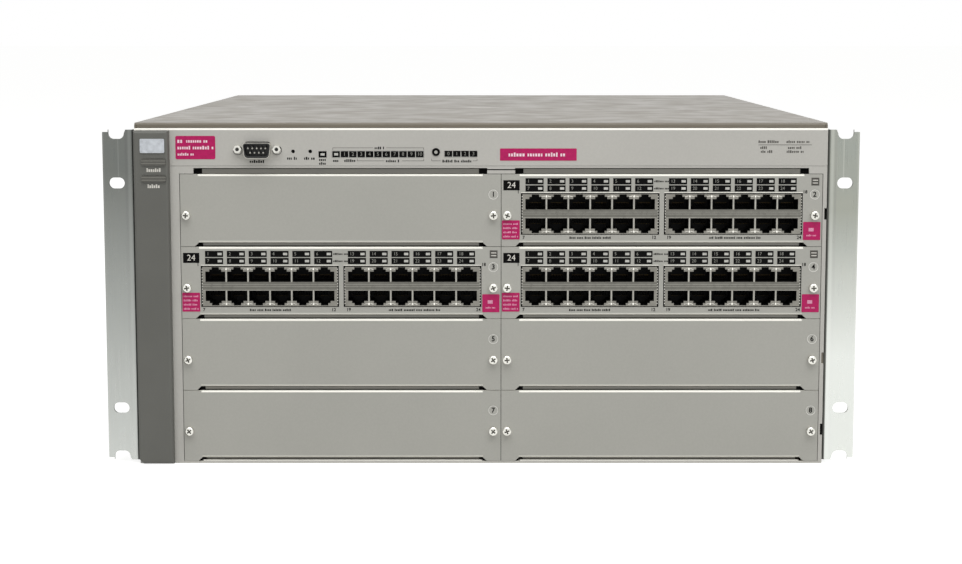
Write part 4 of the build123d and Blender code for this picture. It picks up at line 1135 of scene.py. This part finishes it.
# Start, end, middle height, tallness and seed of each row of bars in place of words.
CONTROL_BARS = (
    (-123.6, -116.4, 198.4, 1.9, 31), (-112.8, -105.2, 198.4, 1.9, 32),
    (-147.5, -137.1, 196.4, 1.9, 33), (-103.2, -98.8, 197.5, 1.7, 34),
    (-103.2, -98.8, 195.1, 1.7, 35), (-94.3, -90.2, 196.9, 1.7, 36),
    (-87.2, -80.4, 196.9, 1.7, 37), (-60.6, -51.6, 196.7, 1.7, 38),
    (-67.8, -61.4, 205.0, 1.7, 39), (-24.6, -6.2, 196.6, 1.7, 40),
)
# The same for the two short columns near the right end, with a line between their rows.
LIST_BARS = (
    (176.8, 189.4, 209.0, 1.7, 51), (194.6, 209.4, 209.0, 1.7, 52),
    (178.0, 182.4, 205.2, 1.7, 53), (195.6, 204.6, 205.2, 1.7, 54),
    (178.4, 186.6, 202.7, 1.7, 55), (194.8, 206.4, 202.7, 1.7, 56),
)
LIST_LINE = (176.8, 210.8, 206.85, 207.15)
# Start, end, height, which way the end turns, and which end it is.
BRACES = (
    (-94.6, -68.8, 205.1, -1, "left"), (-60.4, -36.4, 205.1, -1, "right"),
    (-79.0, -61.8, 196.8, 1, "left"), (-50.4, -36.4, 196.8, 1, "right"),
    (-31.6, -25.8, 196.8, 1, "left"), (-5.2, -2.4, 196.8, 1, "right"),
)
# The two labels with the radius of their corners, and the bars on them.
CONTROL_LABELS = ((-194.7, -169.3, 197.8, 212.7, 1.0), (12.1, 61.0, 196.9, 204.7, 0.4))
LABEL_BARS = (
    (-193.4, -189.4, 209.5, 2.8, 61), (-187.8, -174.0, 209.4, 2.1, 62),
    (-193.4, -170.4, 205.2, 2.3, 63), (-193.4, -182.4, 201.0, 1.8, 64),
    (17.6, 55.0, 200.8, 2.6, 65),
)
PIN_PITCH, PIN_UP, JACKSCREW_OUT = 2.77, 1.42, 12.5
SHELL_TALL, SHELL_WIDE, SHELL_SLANT, SHELL_ROUND = 4.6, 8.8, 1.3, 2.2
SHELL_STRETCH = (1.05, 1.0, 1.09)
BEZEL_BARS = ((-212.4, -203.4, 190.9, 71), (-211.9, -204.4, 180.6, 72))


class SWITCH_OT_control_prints(bpy.types.Operator):
    """Print the light cells, lines and small bars of the control panel"""

    bl_idname = "switch.control_prints"
    bl_label = "Control panel prints"

    def execute(self, context):
        sizes = context.scene.switch_sizes
        ink, grey, white = bmesh.new(), bmesh.new(), bmesh.new()
        self.cells(ink, white, STATUS, sizes, {0})
        self.cells(ink, white, MODE, sizes, set())
        self.framed_light(ink, TEST["x"], TEST["z"], TEST["width"], TEST["height"], sizes)
        for x0, x1, z, tall, seed in CONTROL_BARS:
            write_bars(ink, x0, x1, z, tall, sizes.ink, seed)
        for brace in BRACES:
            self.brace(grey, *brace, sizes)
        for x0, x1, z, tall, seed in LIST_BARS:
            write_bars(grey, x0, x1, z, tall, sizes.ink, seed)
        panel_plate(grey, *LIST_LINE, sizes.ink)
        for bm, name, word in (
            (ink, "control_black_prints", "screen_printed_black_ink"),
            (grey, "control_grey_prints", "screen_printed_grey_ink"),
            (white, "control_pale_prints", "screen_printed_pale_grey_ink"),
        ):
            finish_piece(bm, name, word, CHASSIS)
        return {"FINISHED"}

    def cells(self, ink, white, row, sizes, open_cells):
        """A row of black cells with a pale number in each, or a window for its light."""
        left = row["x"] - row["cells"] * row["pitch"] / 2
        half, tall = row["pitch"] / 2 - 0.22, row["height"] / 2
        for k in range(row["cells"]):
            x = left + (k + 0.5) * row["pitch"]
            if k in open_cells:
                self.framed_light(ink, x, row["z"], row["pitch"] - 0.5, row["height"], sizes)
            else:
                panel_plate(
                    ink, x - half, x + half, row["z"] - tall, row["z"] + tall, sizes.ink
                )
                write_number(white, k, x, row["z"], 2.3, sizes.ink + 0.03, sizes.ink)

    def framed_light(self, bm, x, z, width, height, sizes):
        """A black frame round a light window."""
        half, tall = width / 2, height / 2
        open_plate(
            bm, (x - half, x + half, z - tall, z + tall),
            (x - half + FRAME_WIDTH, x + half - FRAME_WIDTH, z - tall + FRAME_WIDTH,
             z + tall - FRAME_WIDTH), sizes.ink,
        )

    def brace(self, bm, x0, x1, z, way, end, sizes):
        """A thin line with a short turned end, over or under the lights."""
        panel_plate(bm, x0, x1, z - LINE_HALF, z + LINE_HALF, sizes.ink)
        x = x0 if end == "left" else x1 - 2 * LINE_HALF
        panel_plate(bm, x, x + 2 * LINE_HALF, *sorted((z, z + way * 1.4)), sizes.ink)


class SWITCH_OT_control_labels(bpy.types.Operator):
    """Add the two coloured labels of the control panel, with plain bars on them, and the pale
    face of the mode button"""

    bl_idname = "switch.control_labels"
    bl_label = "Control panel labels"

    def execute(self, context):
        sizes = context.scene.switch_sizes
        labels, bars, dot = bmesh.new(), bmesh.new(), bmesh.new()
        for x0, x1, z0, z1, radius in CONTROL_LABELS:
            panel_plate(labels, x0, x1, z0, z1, sizes.label, radius)
        for x0, x1, z, tall, seed in LABEL_BARS:
            write_bars(bars, x0, x1, z, tall, sizes.label + OVERPRINT, seed, sizes.label)
        low, high = span("mode_button")
        disc(dot, ((low.x + high.x) / 2, low.y - 0.08, (low.z + high.z) / 2), 1.05, 0.1)
        finish_piece(dot, "mode_button_dot", "moulded_abs_disc", "mode_button")
        finish_piece(labels, "control_labels", "printed_vinyl_label", CHASSIS)
        finish_piece(bars, "control_label_bars", "white_ink_on_vinyl", CHASSIS)
        return {"FINISHED"}


class SWITCH_OT_console_shell(bpy.types.Operator):
    """Add the bright shell and the pins of the serial connector, the black wall inside the
    shell, and the dark bores and rims of its two jackscrews, which are painted shade"""

    bl_idname = "switch.console_shell"
    bl_label = "Console shell and pins"

    def execute(self, context):
        low, high = span("console_connector")
        middle = (low.x + high.x) / 2, (low.z + high.z) / 2
        shell, bores, pins = bmesh.new(), bmesh.new(), bmesh.new()
        self.shell(shell, middle, low.y, 0.0, 0.3)
        self.shell(bores, middle, low.y, 0.3, 0.65)
        for side in (-1, 1):
            # Black plugs in the bores and dark rims round them: painted shade.
            x = middle[0] + side * JACKSCREW_OUT
            disc(bores, (x, FRONT - 2.7, middle[1]), 1.15, 2.0, 16)
            ring(bores, (x, FRONT - 0.1, middle[1]), 2.75, 3.05, 0.1, 24)
        for count, row in ((5, 1), (4, -1)):
            for k in range(count):
                x = middle[0] + (k - (count - 1) / 2) * PIN_PITCH
                z = middle[1] + row * PIN_UP
                block(pins, (x - 0.5, low.y + 0.9, z - 0.5), (x + 0.5, FRONT, z + 0.5), 0.2)
        for bm, name, word in (
            (shell, "console_shell", "nickel_plated_shell"),
            (bores, "jackscrew_bores", "moulded_black_gasket"),
            (pins, "console_pins", "tin_plated_shield"),
        ):
            finish_piece(bm, name, word, CHASSIS)
        return {"FINISHED"}

    def shell(self, bm, middle, near, inside, wall):
        """A wall of D shape round the pins, some way inside the outermost one."""
        tall, half = SHELL_TALL - inside, SHELL_WIDE - inside
        narrow = half - SHELL_SLANT
        corners = [(-half, tall), (half, tall), (narrow, -tall), (-narrow, -tall)]
        before = set(bm.faces)
        verts = [bm.verts.new(Vector((x, 0.0, z)) * MM) for x, z in corners]
        bm.faces.new(verts)
        bmesh.ops.bevel(
            bm, geom=verts, offset=(SHELL_ROUND - inside) * MM, offset_type="OFFSET",
            affect="VERTICES", segments=5, profile=0.5, material=-1,
        )
        outline = [face for face in bm.faces if face not in before]
        bmesh.ops.inset_region(
            bm, faces=outline, thickness=wall * MM, use_boundary=True, use_even_offset=True
        )
        bmesh.ops.delete(bm, geom=outline, context="FACES_ONLY")
        front = [face for face in bm.faces if face not in before]
        back = bmesh.ops.extrude_face_region(bm, geom=front)["geom"]
        back_verts = [item for item in back if isinstance(item, bmesh.types.BMVert)]
        bmesh.ops.translate(bm, vec=(0, (FRONT - near + 0.1) * MM, 0), verts=back_verts)
        made = {vert for face in bm.faces if face not in before for vert in face.verts}
        bmesh.ops.scale(bm, vec=SHELL_STRETCH, verts=list(made))
        place = Vector((middle[0], near - 0.08 + inside / 5, middle[1])) * MM
        bmesh.ops.translate(bm, vec=place, verts=list(made))
        bmesh.ops.recalc_face_normals(bm, faces=bm.faces[:])


class SWITCH_OT_bezel_marks(bpy.types.Operator):
    """Add the pale bars under the light guides of the bezel"""

    bl_idname = "switch.bezel_marks"
    bl_label = "Bezel prints"

    def execute(self, context):
        near = span("side_bezel")[0].y
        bars = bmesh.new()
        for x, end, z, seed in BEZEL_BARS:
            draw = random.Random(seed)
            while x < end - 0.5:
                length = draw.uniform(0.7, 1.1)
                top = z - 0.8 + 2 * draw.choice((0.85, 0.85, 1.2))
                block(bars, (x, near - 0.05, z - 0.8), (x + length, near + 0.02, top))
                x += length + 0.4
        finish_piece(bars, "bezel_bars", "screen_printed_white_ink", CHASSIS)
        return {"FINISHED"}


# Stage

class SWITCH_OT_stage(bpy.types.Operator):
    """Set the floor, the soft lights, the background and the photograph's camera"""

    bl_idname = "switch.stage"
    bl_label = "Floor, light and camera"

    def execute(self, context):
        settings = context.scene.switch_stage
        self.floor()
        self.world(settings)
        # Place, the point it faces and its size, in metres.
        for name, place, target, size, power in (
            ("light_overhead", (0.15, -1.0, 1.8), (0.0, -0.1, 0.1), (2.4, 1.2),
             settings.overhead),
            ("light_front", (0.9, -2.2, 1.0), (0.0, -0.2, 0.1), (1.6, 1.4),
             settings.front_light),
        ):
            self.soft_light(name, place, target, size, power)
        self.camera(settings)
        context.scene.view_settings.view_transform = "Standard"
        return {"FINISHED"}

    def floor(self):
        """Pale floor: it shows as white as the background, but keeps the shadow."""
        bm = bmesh.new()
        bmesh.ops.create_grid(bm, x_segments=1, y_segments=1, size=30.0)
        mesh = bpy.data.meshes.new("floor")
        bm.to_mesh(mesh)
        bm.free()
        floor = bpy.data.objects.new("floor", mesh)
        bpy.context.scene.collection.objects.link(floor)
        material = bpy.data.materials.new("matt_white_floor")
        material.use_nodes = True
        tree = material.node_tree
        tree.nodes.clear()
        matt = add(tree, "ShaderNodeBsdfDiffuse", None, {"Color": linear("c4c4c2")})
        # As bright as the floor's own light leaves room for, so that it shows white.
        strength = add(tree, "ShaderNodeMapRange", None, {
            "Value": self.seen(tree), "To Min": 0.0, "To Max": 0.76,
        }).outputs["Result"]
        glow = add(tree, "ShaderNodeEmission", None, {
            "Color": (1, 1, 1, 1), "Strength": strength,
        })
        both = add(tree, "ShaderNodeAddShader", None, {0: matt.outputs[0], 1: glow.outputs[0]})
        add(tree, "ShaderNodeOutputMaterial", None, {"Surface": both.outputs[0]})
        mesh.materials.append(material)

    def seen(self, tree):
        """1 for a ray from the camera or from a shiny or clear surface, else 0."""
        rays = add(tree, "ShaderNodeLightPath").outputs
        share = rays["Is Camera Ray"]
        for kind in ("Is Glossy Ray", "Is Transmission Ray"):
            share = add(tree, "ShaderNodeMath", {"operation": "MAXIMUM"}, {
                0: share, 1: rays[kind],
            }).outputs[0]
        return share

    def world(self, settings):
        """White background for the camera and for reflections, softer room light else."""
        world = bpy.data.worlds.new("white_room")
        bpy.context.scene.world = world
        world.use_nodes = True
        tree = world.node_tree
        tree.nodes.clear()
        room = add(tree, "ShaderNodeBackground", None, {
            "Color": (1, 1, 1, 1), "Strength": settings.room_light,
        })
        shown = add(tree, "ShaderNodeBackground", None, {
            "Color": (1, 1, 1, 1), "Strength": 1.0,
        })
        mixed = add(tree, "ShaderNodeMixShader", None, {
            0: self.seen(tree), 1: room.outputs[0], 2: shown.outputs[0],
        })
        add(tree, "ShaderNodeOutputWorld", None, {"Surface": mixed.outputs[0]})

    def soft_light(self, name, place, target, size, power):
        """A large soft lamp that faces a point."""
        lamp = bpy.data.lights.new(name, "AREA")
        lamp.shape = "RECTANGLE"
        lamp.size, lamp.size_y = size
        lamp.energy = power
        holder = bpy.data.objects.new(name, lamp)
        bpy.context.scene.collection.objects.link(holder)
        holder.location = place
        way = Vector(target) - Vector(place)
        holder.rotation_euler = way.to_track_quat("-Z", "Y").to_euler()

    def camera(self, settings):
        """The camera of the photograph: far in front, a little above the top cover."""
        lens = bpy.data.cameras.new("camera")
        lens.sensor_width = 36.0
        lens.lens = settings.lens
        lens.shift_y = settings.shift
        lens.clip_start = 0.05
        lens.clip_end = 100.0
        holder = bpy.data.objects.new("camera", lens)
        bpy.context.scene.collection.objects.link(holder)
        holder.location = (0.0, (FRONT - settings.distance) * MM, settings.camera_height * MM)
        holder.rotation_euler = (math.radians(90 - settings.pitch), 0, 0)
        bpy.context.scene.camera = holder


OPERATORS = (
    SWITCH_OT_finishes, SWITCH_OT_module_lights, SWITCH_OT_sockets, SWITCH_OT_module_marks,
    SWITCH_OT_slot_discs, SWITCH_OT_shelf_lips, SWITCH_OT_screws, SWITCH_OT_control_prints,
    SWITCH_OT_control_labels, SWITCH_OT_console_shell, SWITCH_OT_bezel_marks,
    SWITCH_OT_stage,
)


class SWITCH_PT_panel(bpy.types.Panel):
    """Lists the steps that dress the switch, and their sizes and colours"""

    bl_idname = "SWITCH_PT_panel"
    bl_label = "Switch"
    bl_space_type = "VIEW_3D"
    bl_region_type = "UI"
    bl_category = "Switch"

    def draw(self, context):
        for operator in OPERATORS:
            self.layout.operator(operator.bl_idname)
        for group in ("switch_colours", "switch_sizes", "switch_stage"):
            values = getattr(context.scene, group)
            box = self.layout.box()
            for key in values.bl_rna.properties.keys():
                if key not in {"rna_type", "name"}:
                    box.prop(values, key)


CLASSES = (SwitchColours, SwitchSizes, StageSettings, *OPERATORS, SWITCH_PT_panel)


def register():
    for item in CLASSES:
        bpy.utils.register_class(item)
    bpy.types.Scene.switch_colours = bpy.props.PointerProperty(type=SwitchColours)
    bpy.types.Scene.switch_sizes = bpy.props.PointerProperty(type=SwitchSizes)
    bpy.types.Scene.switch_stage = bpy.props.PointerProperty(type=StageSettings)


def unregister():
    del bpy.types.Scene.switch_stage
    del bpy.types.Scene.switch_sizes
    del bpy.types.Scene.switch_colours
    for item in reversed(CLASSES):
        bpy.utils.unregister_class(item)


def main():
    """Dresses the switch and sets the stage."""
    register()
    for operator in OPERATORS:
        group, name = operator.bl_idname.split(".")
        getattr(getattr(bpy.ops, group), name)()


if __name__ == "__main__":
    main()
